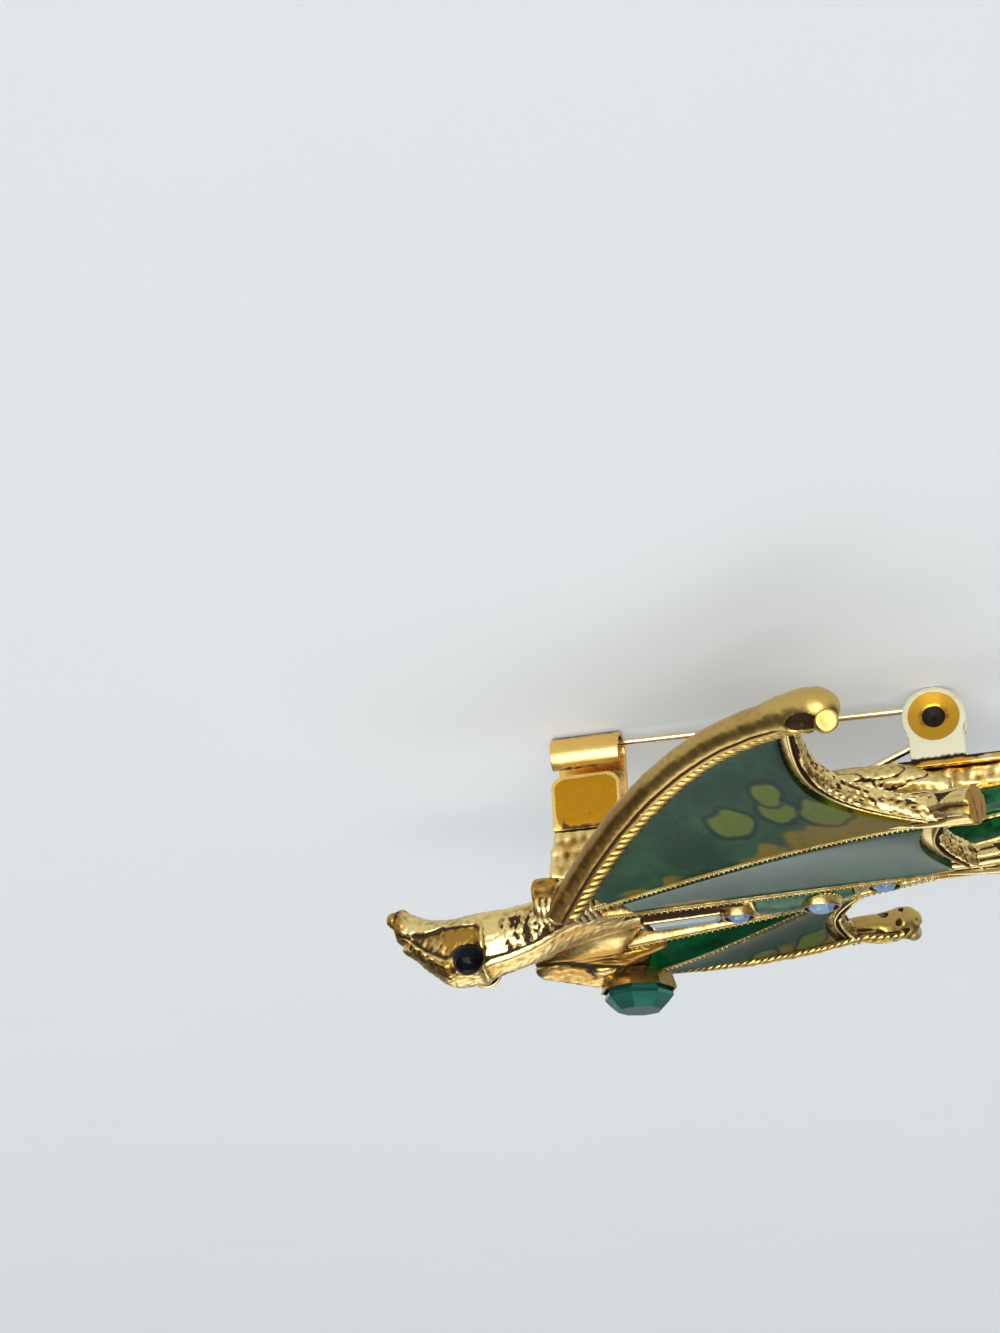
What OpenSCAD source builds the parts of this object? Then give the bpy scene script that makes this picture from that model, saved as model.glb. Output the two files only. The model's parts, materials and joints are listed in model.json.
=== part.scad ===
// Enamelled dragon brooch, lying face up on its pin findings and the tip of its tail.
// The head points to +X, the wings spread to -Y and +Y, the front faces +Z. Millimetres.

/* [Wings] */
// Radius of the bar along each wing's front edge
bar_r = 1.15; // [1.05:0.05:1.25]
// Radius of the ribs between the enamel panels
rib_r = 0.45; // [0.4:0.05:0.5]
// Thickness of the enamel in its cells
enamel_t = 0.5; // [0.4:0.05:0.6]
// Thickness of the cast floor under the enamel
floor_t = 0.9; // [0.8:0.1:1.1]

/* [Pin] */
// Diameter of the spring wire
wire_d = 0.64; // [0.56:0.02:0.66]
// Thickness of the sheet that the hinge and the catch are pressed from
sheet_t = 0.4; // [0.35:0.05:0.45]
// Width of the catch along the pin
catch_w = 5.8; // [5.2:0.1:6]

/* [Stones] */
// Width of the octagonal green stone
green_w = 6; // [5.6:0.1:6.2]
// Length of the clear baguette on the spine
baguette_l = 6; // [5:0.1:6.2]
// Radius of the domed eyes
eye_r = 1.25; // [1.15:0.05:1.3]

/* [Hidden] */

gap = 0.05;
gold = "#c9a04a";
bright_gold = "#dcb868";
wire_gold = "#c8ab6e";
green = "#0d5a35";

// Place of the modelling origin, half way between hinge and catch, in the object's box
centre_x = 1.85;
centre_y = 0;

// Each finger of a wing is a cubic curve from the shoulder to its tip
NEAR_1 = [[15.6, -8.2, 17.2], [8.5, -15, 10.4], [0.5, -24, 8.2], [-8.6, -28.2, 10.4]];
NEAR_2 = [[14, -7, 16.6], [4, -8.5, 15.2], [-6, -12.5, 14.2], [-17.4, -17.8, 15.8]];
NEAR_3 = [[13, -5.6, 16.8], [3, -5.8, 16.9], [-8, -6.3, 16.3], [-21, -9, 17.2]];
FAR_1 = [[16, 9.6, 18], [9, 15.6, 17.4], [1, 24, 15.4], [-8.8, 28.2, 11.4]];
FAR_2 = [[14.6, 7.8, 18.6], [7, 9, 18.6], [-4.5, 12.4, 10], [-15.5, 17, 9]];
FAR_3 = [[13, 4, 17], [5, 2.6, 16.5], [-6, 3.4, 15.1], [-17, 6, 12.6]];

// How far each membrane runs: at its first finger, at its second, and the depth of its scallop
// Its middle bulges by the fourth value
NEAR_LEAD = [0.9, 0.94, 0.12, 0.9];
NEAR_TRAIL = [0.93, 0.90, 0.05, -0.3];
FAR_TRAIL = [0.90, 0.90, 0.05, -0.5];
FAR_LEAD = [0.89, 0.83, 0.14, -1.1];

// Body from the neck to the tail's end: x, y, middle height, half width, half height
BODY = [[24.5, -1, 17.0, 2.5, 2.9],
        [20, -1, 16.2, 2.5, 2.5],
        [15.8, -0.6, 14.7, 4.2, 2.4],
        [10.3, 0, 12.7, 5.5, 3.3],
        [4, 0, 12.0, 5.6, 4.0],
        [-3, 0, 11.6, 5.2, 4.4],
        [-10, 0, 10.8, 4.4, 3.7],
        [-17, 0, 10.2, 3.7, 2.9],
        [-23, 0.6, 9.1, 3.1, 2.5],
        [-29, 3, 7.0, 2.5, 2.2],
        [-33, 7.6, 5.2, 2.1, 1.9],
        [-34, 13, 3.5, 1.7, 1.6],
        [-31.6, 17.6, 2.2, 1.4, 1.25],
        [-28.6, 20.2, 1.3, 1.2, 0.95]];

// Head from the nose to the back of the cheeks, with the same columns
HEAD = [[31.4, -1, 14.5, 1.3, 1.3],
        [30.8, -1, 14.7, 1.6, 1.6],
        [29.8, -1, 15.6, 1.7, 1.9],
        [28.4, -1, 16.5, 2.1, 2.3],
        [26.6, -1, 17.2, 2.7, 2.8],
        [24.6, -1, 17.1, 3.1, 2.9],
        [23.3, -1, 17.0, 2.8, 2.9]];

// Round crystals on the spine: x and radius
CRYSTALS = [[2.75, 1.1], [-3.9, 1.3], [-9, 1.15], [-13.6, 1], [-17.8, 0.85]];

pin_y = -2;
hinge_x = -14.5;
hinge_z = 2.5;
ear_r = 2.5;
hole_r = 0.3;
coil_r = 1.25;
wire_r = wire_d / 2;
turn_y = wire_r + gap / 2;
stem_l = 30;
stem_r = wire_r - 0.02;
neck_l = 2.8;
stem_tilt = 0.9;
point_l = 4.6;
leg_l = 6.9;
leg_tilt = 22;
coil_sweep = 270;
plate_z = 7.0;
catch_x = 14.05;
catch_z = 8.6;
roll_r = 1.7;
baguette_x = 7.2;
baguette_z = 16.1;
baguette_tilt = 2;
finger_r = 0.75;
green_at = [13.3, 9.4, 19];

function bez(p, t) = pow(1 - t, 3) * p[0] + 3 * pow(1 - t, 2) * t * p[1]
                   + 3 * (1 - t) * t * t * p[2] + t * t * t * p[3];
function mix(a, b, s) = a * (1 - s) + b * s;
function up(p, h) = [p[0], p[1], p[2] + h];
function left_of(d) = [-d[1], d[0], 0] / norm([d[0], d[1]]);

// Smooth value of a table between its rows, where u counts rows
function row_at(rows, u) =
    let (last = len(rows) - 1, i = max(0, min(floor(u), last - 1)), f = u - i,
         a = rows[max(i - 1, 0)], b = rows[i], c = rows[i + 1], d = rows[min(i + 2, last)])
    0.5 * (2 * b + (c - a) * f + (2 * a - 5 * b + 4 * c - d) * f * f + (3 * b - a - 3 * c + d) * f * f * f);

// Point on a section of a body that runs towards -X: turn 0 is its +Y side and 90 its front
function skin(rows, u, turn, off = 0) =
    let (r = row_at(rows, u), d = row_at(rows, u + 0.05) - row_at(rows, u - 0.05))
    [r[0], r[1], r[2] + (r[4] + off) * sin(turn)] - (r[3] + off) * cos(turn) * left_of(d);

// Closed solid through rings of points that all have the same count
module rings(list) {
    n = len(list[0]);
    last = len(list) - 1;
    sides = [for (j = [0:last - 1], i = [0:n - 1])
             each [[j * n + i, j * n + (i + 1) % n, (j + 1) * n + i],
                   [j * n + (i + 1) % n, (j + 1) * n + (i + 1) % n, (j + 1) * n + i]]];
    caps = [[for (i = [n - 1:-1:0]) i], [for (i = [0:n - 1]) last * n + i]];
    polyhedron(points = [for (ring = list) each ring], faces = concat(sides, caps), convexity = 6);
}

// Closed plate between an upper and a lower grid of the same size
module plate(high, low) {
    c = len(high[0]);
    r = len(high);
    n = c * r;
    top = [for (j = [0:r - 2], i = [0:c - 2])
           let (a = j * c + i, b = a + c)
           each [[a, b, a + 1], [a + 1, b, b + 1]]];
    edge = concat([for (i = [0:c - 1]) i], [for (j = [1:r - 1]) j * c + c - 1],
                  [for (i = [c - 2:-1:0]) (r - 1) * c + i], [for (j = [r - 2:-1:1]) j * c]);
    m = len(edge);
    wall = [for (k = [0:m - 1]) let (a = edge[k], b = edge[(k + 1) % m])
            each [[a, b, a + n], [b, b + n, a + n]]];
    polyhedron(points = concat([for (row = high) each row], [for (row = low) each row]),
               faces = concat(top, [for (f = top) [f[2] + n, f[1] + n, f[0] + n]], wall), convexity = 6);
}

// Solid body through a table, from row u0 to row u1
module loft(rows, u0, u1, steps, sides)
    rings([for (j = [0:steps]) let (u = mix(u0, u1, j / steps))
           [for (i = [0:sides - 1]) skin(rows, u, 360 * i / sides)]]);

// Curved plate that covers a table's body between two turns and two depths
module saddle(rows, u0, u1, turn0, turn1, low, high, steps, across) {
    function grid(off) = [for (j = [0:steps])
                          [for (i = [0:across])
                           skin(rows, mix(u0, u1, j / steps), mix(turn1, turn0, i / across), off)]];
    plate(grid(high), grid(low));
}

// Bar along a finger, from t0 to t1, with its radius at both ends and a flat below
module bar(finger, t0, t1, r0, r1, drop = 0, shift = 0, steps = 12, sides = 8)
    rings([for (j = [0:steps])
           let (t = mix(t0, t1, j / steps), r = mix(r0, r1, j / steps), p = up(bez(finger, t), -drop),
                side = -left_of(bez(finger, t + 0.01) - bez(finger, t - 0.01)))
           [for (i = [0:sides - 1]) let (turn = 360 * (i + 0.5) / sides)
            up(p + (shift + r * cos(turn)) * side, r * sin(turn))]]);

// End of a membrane between two fingers, as a share of their length
function edge_t(cut, s) = mix(cut[0], cut[1], s) - cut[2] * sin(180 * s);

// Place on a membrane: s runs from finger a to finger b, t from the shoulder to the tip
function web(a, b, cut, s, t) = up(mix(bez(a, t), bez(b, t), s), cut[3] * sin(180 * s) * t);

// Cast floor of one wing panel
module panel_floor(a, b, cut, steps = 10, across = 5) {
    function grid(h) = [for (j = [0:steps])
                        [for (i = [0:across])
                         let (s = i / across, t = mix(0.02, edge_t(cut, s), j / steps))
                         up(web(a, b, cut, s, t), h)]];
    plate(grid(-enamel_t - gap), grid(-enamel_t - gap - floor_t));
}

// Raised rim that closes the scalloped end of one wing panel
module panel_rim(a, b, cut, w = 0.45, steps = 8) {
    line = [for (i = [0:steps]) let (s = i / steps) web(a, b, cut, s, edge_t(cut, s))];
    rings([for (i = [0:steps])
           let (side = -left_of(line[min(i + 1, steps)] - line[max(i - 1, 0)]))
           [up(line[i] + w * side, 0.1), up(line[i] - w * side, 0.1),
            up(line[i] - w * side, -1.6), up(line[i] + w * side, -1.6)]]);
}

// Enamel of one wing panel, inside its ribs and rim
// Each inset is that at the shoulder and that at the tip, where the finger ends are thicker
module panel_enamel(a, b, cut, inset_a, inset_b, start, steps = 10, across = 5) {
    function inset(i, t) = mix(i[0], i[1], max(0, min(1, (t - 0.45) / 0.3)));
    function width(t) = norm(bez(a, t) - bez(b, t));
    function share(s, t) = mix(inset(inset_a, t) / width(t), 1 - inset(inset_b, t) / width(t), s);
    function grid(h) = [for (j = [0:steps])
                        [for (i = [0:across])
                         let (s = i / across, stop = edge_t(cut, share(s, edge_t(cut, s))) - 0.04,
                              t = mix(start, stop, j / steps))
                         up(web(a, b, cut, share(s, t), t), h)]];
    plate(grid(0), grid(-enamel_t));
}

module ball(at, r, facets = 12) translate(at) sphere(r = r, $fn = facets);

// Solid between two balls
module link(a, ra, b, rb) hull() {
    ball(a, ra);
    ball(b, rb);
}

// Blunt finger end with a boss beside it
module tip(finger, t0, r0, r1, drop, boss) {
    link(up(bez(finger, t0), -drop), r0, up(bez(finger, 0.98), -drop), r1);
    if (boss > 0)
        link(up(bez(finger, 0.94), 0.7), boss, up(bez(finger, 1), 0.9), boss);
}

module near_wing() {
    bar(NEAR_1, 0, 0.95, bar_r, bar_r, drop = 0.3);
    bar(NEAR_2, 0, 0.96, rib_r, rib_r * 1.3, drop = 0.3);
    bar(NEAR_3, 0, 0.95, rib_r, rib_r, drop = 0.3);
    panel_floor(NEAR_1, NEAR_2, NEAR_LEAD);
    panel_floor(NEAR_2, NEAR_3, NEAR_TRAIL);
    panel_rim(NEAR_1, NEAR_2, NEAR_LEAD);
    panel_rim(NEAR_2, NEAR_3, NEAR_TRAIL);
    tip(NEAR_1, 0.84, bar_r, bar_r * 1.35, 0.5, 0.95);
    tip(NEAR_2, 0.72, finger_r * 1.3, finger_r * 1.9, 1.1, 0);
    tip(NEAR_3, 0.82, finger_r * 1.3, finger_r * 1.8, 0.9, 0);
}

module far_wing() {
    bar(FAR_1, 0, 0.95, bar_r, bar_r, drop = 1.4, shift = 0.1);
    bar(FAR_2, 0, 0.96, rib_r, rib_r * 1.3, drop = 0.3);
    bar(FAR_3, 0, 0.95, rib_r, rib_r, drop = 0.3);
    panel_floor(FAR_3, FAR_2, FAR_TRAIL);
    panel_floor(FAR_2, FAR_1, FAR_LEAD);
    panel_rim(FAR_3, FAR_2, FAR_TRAIL);
    panel_rim(FAR_2, FAR_1, FAR_LEAD);
    tip(FAR_1, 0.82, bar_r, bar_r * 1.35, 0.5, 0.95);
    tip(FAR_2, 0.7, finger_r * 1.3, finger_r * 1.9, 1.1, 0);
    tip(FAR_3, 0.82, finger_r * 1.3, finger_r * 1.8, 0.9, 0);
}

// Roots of both wings and the folded forelegs beside them
module shoulders() {
    hull() {
        ball([16.6, -8.4, 14.9], 1.3);
        ball([16.6, -8.2, 16.2], 1.2);
        ball([12.4, -6.4, 14.8], 1.5);
        ball([13, -2.5, 14.6], 2);
    }
    hull() {
        ball([20.4, 6, 17.4], 1.1);
        ball([16, 8.6, 17.6], 1.5);
        ball([13.5, 3, 14.6], 2.2);
    }
    link([16, 8.6, 17.6], 1.5, [13, 9, 17.4], 1.6);
    link([15.6, 6, 17.6], 1.1, [10.2, 4.4, 16.4], 0.8);
}

// Hind legs folded against the flanks, with their feet turned back
module hind_legs() for (side = [-1, 1]) {
    link([-5.6, side * 4.6, 8.7], 2.1, [-11, side * 5, 8.2], 1.5);
    link([-11, side * 5, 8.2], 1.5, [-15, side * 5.3, 9.2], 0.8);
}

module head() {
    loft(HEAD, 0, len(HEAD) - 1, 14, 14);
    for (side = [-1, 1]) {
        link([30.2, -1 + side * 0.8, 16.7], 0.5, [26.2, -1 + side * 1.9, 18.9], 0.7);
        link([26.2, -1 + side * 1.9, 18.9], 0.7, [24.2, -1 + side * 1.4, 19], 0.8);
        ball([31.45, -1 + side * 0.72, 14.1], 0.7, 10);
    }
}

// Leaf-shaped end of the tail, flat on the surface that the brooch lies on
module spade() translate([-28.6, 20.2, 0]) rotate(45) hull() {
    ball([7.4, 0, 0.5], 0.5, 10);
    ball([1.2, 2.7, 0.55], 0.55, 10);
    ball([1.2, -2.7, 0.55], 0.55, 10);
    ball([0.2, 0, 0.95], 0.95, 10);
}

function spine_u(x) = [for (k = [0:240]) let (u = 1 + k / 30) if (row_at(BODY, u)[0] <= x) u][0];
function spine_z(x) = let (r = row_at(BODY, spine_u(x))) r[2] + r[4];
function eye_at(side) = [24.5, -1 + side * 2.4, 18.4];

module baguette_place() translate([baguette_x, 0, baguette_z]) rotate([0, -baguette_tilt, 0]) children();

// Collets that hold the crystals, the baguette and the green stone
module settings() {
    for (c = CRYSTALS)
        translate([c[0], 0, spine_z(c[0]) - 1.2]) cylinder(r = c[1] + 0.3, h = 1.8, $fn = 16);
    baguette_place() translate([0, 0, -1]) cube([baguette_l + 0.9, 2.8, 2.6], center = true);
    translate(up(green_at, -1.1))
        cylinder(r1 = green_w / 2 - 0.1, r2 = green_w / 2 + 0.35, h = 1.5, $fn = 8);
}

// Room that is cut for each stone
module seats() {
    for (c = CRYSTALS)
        translate([c[0], 0, spine_z(c[0]) - 0.4]) cylinder(r = c[1] + gap, h = 3, $fn = 16);
    baguette_place() cube([baguette_l + 2 * gap, 1.8 + 2 * gap, 1.4], center = true);
    translate(green_at) cylinder(r = green_w / 2 + gap, h = 3, $fn = 8);
    for (side = [-1, 1])
        ball(eye_at(side), eye_r + gap, 16);
}

// Enamel in the body between two rows and two turns, or the room for it when grow is the clearance
module body_cell(row0, row1, turn0, turn1, grow)
    saddle(BODY, row0 - grow, row1 + grow, turn0 - 12 * grow, turn1 + 12 * grow,
           -enamel_t - grow, grow > 0 ? 0.5 : 0, 12, 4);
module near_back(grow = 0) body_cell(3, 7.6, 118, 150, grow);
module spine(grow = 0) body_cell(4.42, 5.5, 64, 114, grow);
module near_flank(grow = 0) body_cell(6.6, 8.8, 160, 200, grow);
module far_flank(grow = 0) body_cell(6.6, 8.8, -20, 20, grow);

module casting() color(gold) difference() {
    union() {
        difference() {
            loft(BODY, 0, len(BODY) - 1, 33, 16);
            near_back(gap);
            spine(gap);
            near_flank(gap);
            far_flank(gap);
            hull() {
                ball([6.2, 0, 8.4], 2.6, 14);
                ball([-5, 0, 7.4], 2.2, 14);
            }
        }
        head();
        near_wing();
        far_wing();
        shoulders();
        hind_legs();
        settings();
        spade();
        // Pads that the hinge and the catch are soldered to
        translate([hinge_x - 6, pin_y - 1.4, plate_z]) cube([8.4, 2.8, 1.6]);
        hull() {
            translate([catch_x - 2.9, pin_y - 1.6, catch_z]) cube([5.8, 3.2, 0.4]);
            translate([catch_x - 3.2, pin_y - 2, 12]) cube([6.8, 4.6, 0.8]);
        }
    }
    seats();
}

// One ear of the hinge, dished inwards round its hole to a nose in the coil, standing at +Y of it
module ear() {
    inner = turn_y + wire_r + 0.08;
    rotate([-90, 0, 0]) rotate_extrude($fn = 64)
        polygon([[hole_r, 0.3], [0.82, 0.3], [0.86, inner], [ear_r, inner], [ear_r, inner + sheet_t],
                 [2.1, inner + sheet_t], [0.95, inner + 0.25], [hole_r, 0.5]]);
    difference() {
        translate([-2.15, inner, 0]) cube([4.3, sheet_t, plate_z - gap - hinge_z]);
        translate([0, -1, 0]) rotate([-90, 0, 0]) cylinder(r = 2.2, h = 6, $fn = 64);
    }
}

module hinge_bracket() color(bright_gold) translate([hinge_x, pin_y, hinge_z]) {
    ear();
    mirror([0, 1, 0]) ear();
    translate([-6.5, -2.1, plate_z - gap - 0.6 - hinge_z]) cube([9.6, 4.2, 0.6]);
}

// Strip bent to a hook round the pin, with a guard tab in front of its mouth
module catch() color(gold) translate([catch_x - catch_w / 2, pin_y, 0]) {
    foot_z = catch_z - gap - sheet_t;
    tab_l = catch_z - 3.95;
    // Side profile of the bent strip, drawn with Y to the right and Z up
    rotate([90, 0, 90]) linear_extrude(catch_w) {
        difference() {
            translate([0, roll_r]) circle(r = roll_r, $fn = 64);
            translate([0, roll_r]) circle(r = roll_r - sheet_t, $fn = 64);
            translate([-0.9, roll_r]) square([roll_r - sheet_t + 0.9, 3]);
        }
        translate([roll_r - sheet_t, roll_r]) square([sheet_t, catch_z - gap - roll_r]);
        translate([-roll_r, foot_z]) square([2 * roll_r, sheet_t]);
    }
    // Guard tab with two rounded corners
    translate([0, -roll_r, foot_z + sheet_t]) rotate([-90, 0, 0]) linear_extrude(sheet_t) {
        square([catch_w, tab_l - 1.1]);
        translate([1.1, 0]) square([catch_w - 2.2, tab_l]);
        for (x = [1.1, catch_w - 1.1])
            translate([x, tab_l - 1.1]) circle(r = 1.1, $fn = 48);
    }
}

// Part of the coil round the hinge's axis, up to the place where its straight wire leaves
module coil_arc(y, from, sweep) translate([0, y, 0]) rotate([90, 0, 0]) rotate(from)
    rotate_extrude(angle = sweep, $fn = 64) translate([coil_r, 0]) circle(r = wire_r, $fn = 20);

// Pointed stem and the half of the coil that swings with it
module pin_stem() color(wire_gold) translate([hinge_x, pin_y, hinge_z]) rotate([0, stem_tilt, 0]) {
    coil_arc(turn_y, -90, -coil_sweep);
    translate([0, turn_y, -coil_r]) rotate([0, 90, 0]) {
        cylinder(r1 = wire_r, r2 = stem_r, h = neck_l, $fn = 20);
        translate([0, 0, neck_l]) cylinder(r = stem_r, h = stem_l - point_l - neck_l, $fn = 20);
        translate([0, 0, stem_l - point_l]) cylinder(r1 = stem_r, r2 = 0.08, h = point_l, $fn = 20);
    }
}

// Half of the coil that stays, and the short leg that presses on the plate
module spring_leg() color(wire_gold) translate([hinge_x, pin_y, hinge_z]) rotate([0, -leg_tilt, 0]) {
    coil_arc(-turn_y, 90, coil_sweep);
    translate([0, -turn_y, coil_r]) rotate([0, 90, 0])
        cylinder(r = wire_r, h = leg_l, $fn = 20);
}

module near_lead_enamel() color(green)
    panel_enamel(NEAR_1, NEAR_2, NEAR_LEAD, [bar_r + 0.15, bar_r + 0.65], [rib_r + 0.2, 1.4], 0.1);
module near_trail_enamel() color(green)
    panel_enamel(NEAR_2, NEAR_3, NEAR_TRAIL, [rib_r + 0.2, 1.2], [rib_r + 0.2, 1.2], 0.2);
module far_trail_enamel() color(green)
    panel_enamel(FAR_3, FAR_2, FAR_TRAIL, [rib_r + 0.2, 1.2], [rib_r + 0.25, 1.3], 0.2);
module far_lead_enamel() color(green)
    panel_enamel(FAR_2, FAR_1, FAR_LEAD, [rib_r + 0.35, 1.8], [bar_r - 0.2, bar_r + 0.1], 0.19);

module near_back_enamel() color(green) near_back();

// Enamel on the spine round the second crystal's collet
module spine_enamel() color(green) difference() {
    spine();
    translate([CRYSTALS[1][0], 0, spine_z(CRYSTALS[1][0]) - 3])
        cylinder(r = CRYSTALS[1][1] + 0.3 + gap, h = 6, $fn = 16);
}

module near_flank_enamel() color(green) near_flank();
module far_flank_enamel() color(green) far_flank();

module eye(side) color("#10151a") ball(eye_at(side), eye_r, 16);
module eye_near() eye(-1);
module eye_far() eye(1);

// Step-cut bar of clear glass
module baguette() color("#dfe8ea") baguette_place() translate([0, 0, gap - 0.7]) hull() {
    translate([-baguette_l / 2, -0.9, 0]) cube([baguette_l, 1.8, 0.7]);
    translate([-baguette_l / 2 + 0.5, -0.45, 0]) cube([baguette_l - 1, 0.9, 1.2]);
}

// Octagonal stone with a flat table
module green_stone() color("#1c6b57") translate(up(green_at, gap)) {
    cylinder(r = green_w / 2, h = 1, $fn = 8);
    translate([0, 0, 1]) cylinder(r1 = green_w / 2, r2 = green_w / 2 - 1.1, h = 1.1, $fn = 8);
}

// Round crystal with a table and two rows of facets
module crystal(k) {
    r = CRYSTALS[k][1];
    color("#9fc4e6") translate([CRYSTALS[k][0], 0, spine_z(CRYSTALS[k][0]) - 0.4 + gap])
        rotate_extrude($fn = 10)
            polygon([[0, 0], [r, 0], [r, 0.4], [0.8 * r, 0.4 + 0.32 * r],
                     [0.48 * r, 0.4 + 0.56 * r], [0, 0.4 + 0.56 * r]]);
}

translate([centre_x, centre_y, 0]) {
    casting();
    hinge_bracket();
    catch();
    pin_stem();
    spring_leg();
    near_lead_enamel();
    near_trail_enamel();
    far_trail_enamel();
    far_lead_enamel();
    near_back_enamel();
    spine_enamel();
    near_flank_enamel();
    far_flank_enamel();
    eye_near();
    eye_far();
    baguette();
    green_stone();
    crystal(0);  // crystal_1
    crystal(1);  // crystal_2
    crystal(2);  // crystal_3
    crystal(3);  // crystal_4
    crystal(4);  // crystal_5
}
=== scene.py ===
import json
from math import cos, pi, radians, sin

import bmesh
import bpy
import numpy as np
from mathutils import Matrix, Vector


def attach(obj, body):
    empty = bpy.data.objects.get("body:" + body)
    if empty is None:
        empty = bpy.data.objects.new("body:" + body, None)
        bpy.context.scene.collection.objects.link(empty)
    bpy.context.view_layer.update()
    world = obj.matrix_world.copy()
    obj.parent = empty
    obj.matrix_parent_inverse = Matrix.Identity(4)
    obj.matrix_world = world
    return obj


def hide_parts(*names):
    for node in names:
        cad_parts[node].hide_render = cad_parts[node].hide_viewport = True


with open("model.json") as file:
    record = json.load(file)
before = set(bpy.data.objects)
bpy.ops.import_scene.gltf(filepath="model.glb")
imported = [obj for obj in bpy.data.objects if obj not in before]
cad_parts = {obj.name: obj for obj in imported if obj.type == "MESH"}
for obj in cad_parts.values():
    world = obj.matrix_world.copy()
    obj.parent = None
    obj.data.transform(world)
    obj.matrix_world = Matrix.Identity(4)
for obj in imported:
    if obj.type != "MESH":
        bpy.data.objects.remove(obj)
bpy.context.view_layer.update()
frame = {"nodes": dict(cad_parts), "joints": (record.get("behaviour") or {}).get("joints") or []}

# The metal of the two wings: a thick bar along each front edge, two thin ribs, floors that the enamel lies
# on and a scalloped rim behind. It is one casting with the body, in white metal with antique gold plate,
# whose brown toning stays in the hollows and is rubbed off the beaded edges.
MM = 0.001
# Places are in millimetres from the modelling origin, and CENTRE carries them to the frame's
PIN_HINGE = np.array((-14.5, -2.0, 2.5))
CENTRE = np.array(frame["joints"][0]["pos_m"]) / MM - PIN_HINGE
UP = np.array((0.0, 0.0, 1.0))
# The three fingers of each wing, front one first: four points of a Bezier curve from shoulder to tip
NEAR = np.array([[[15.6, -8.2, 17.2], [8.5, -15, 10.4], [0.5, -24, 8.2], [-8.6, -28.2, 10.4]],
                 [[14, -7, 16.6], [4, -8.5, 15.2], [-6, -12.5, 14.2], [-17.4, -17.8, 15.8]],
                 [[13, -5.6, 16.8], [3, -5.8, 16.9], [-8, -6.3, 16.3], [-21, -9, 17.2]]])
FAR = np.array([[[16, 9.6, 18], [9, 15.6, 17.4], [1, 24, 15.4], [-8.8, 28.2, 11.4]],
                [[14.6, 7.8, 18.6], [7, 9, 18.6], [-4.5, 12.4, 10], [-15.5, 17, 9]],
                [[13, 4, 17], [5, 2.6, 16.5], [-6, 3.4, 15.1], [-17, 6, 12.6]]])
BAR_R = 1.15
FINGER_R = 0.75
ENAMEL_T = 0.5
FLOOR_T = 0.9
GAP = 0.05
# Each membrane: its two fingers, how far it runs along both, the depth of its scallop, and its bulge
NEAR_LEAD = (NEAR[0], NEAR[1], 0.9, 0.94, 0.12, 0.9)
NEAR_TRAIL = (NEAR[1], NEAR[2], 0.93, 0.90, 0.05, -0.3)
FAR_TRAIL = (FAR[2], FAR[1], 0.90, 0.90, 0.05, -0.5)
FAR_LEAD = (FAR[1], FAR[0], 0.89, 0.83, 0.14, -1.1)


def unit(v):
    return v / np.linalg.norm(v, axis=-1, keepdims=True)


def mix(a, b, share):
    return a * (1 - share) + b * share


def step(low, high, value):
    """0 up to low, 1 from high on, and smooth between."""
    x = np.clip((np.asarray(value, float) - low) / (high - low), 0, 1)
    return x * x * (3 - 2 * x)


def span(value, start, full, fading, end):
    """1 from full to fading, 0 outside start and end, and smooth between."""
    return step(start, full, value) * (1 - step(fading, end, value))


def peak(value, centre, width):
    """1 at the centre, falling off smoothly over about the width on each side."""
    return np.exp(-((value - centre) / width) ** 2)


def turns(count):
    """Angles at even steps once round."""
    return np.linspace(0, 2 * pi, count, endpoint=False)


def circle(radius, turn):
    """Section of (out, up) pairs at the radius of each turn."""
    return np.stack([radius * np.cos(turn), radius * np.sin(turn)], -1)


def on(finger, t):
    """Points on a finger's curve, from the shoulder at 0 to the tip at 1."""
    t = np.asarray(t, float)[..., None]
    return ((1 - t) ** 3 * finger[0] + 3 * (1 - t) ** 2 * t * finger[1]
            + 3 * (1 - t) * t * t * finger[2] + t ** 3 * finger[3])


def edge_t(panel, s):
    """How far along its fingers a membrane ends, where s runs from its first finger to its second."""
    return mix(panel[2], panel[3], s) - panel[4] * np.sin(pi * s)


def web(panel, s, t):
    """Points on a membrane, s of the way across it and t of the way along."""
    s, t = np.broadcast_arrays(s, t)
    bulge = panel[5] * np.sin(pi * s) * t
    return mix(on(panel[0], t), on(panel[1], t), s[..., None]) + bulge[..., None] * UP


def noise(points, size, seed):
    """Smooth random heights, mostly between -1 and 1, with bumps of the given size."""
    rng = np.random.default_rng(seed)
    waves = unit(rng.normal(size=(9, 3))) * rng.uniform(0.7, 1.4, (9, 1)) * 2 * pi / size
    return np.sin(points @ waves.T + rng.uniform(0, 2 * pi, 9)).sum(-1) / 3


def rings(points):
    """Closed solid through rings of points, as (points, faces)."""
    n, m = points.shape[:2]
    j, i = np.mgrid[:n - 1, :m]
    k = (i + 1) % m
    quads = np.stack([j * m + i, j * m + k, (j + 1) * m + k, (j + 1) * m + i], -1).reshape(-1, 4)
    caps = [list(range(m))[::-1], [(n - 1) * m + a for a in range(m)]]
    return points.reshape(-1, 3), quads.tolist() + caps


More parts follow.
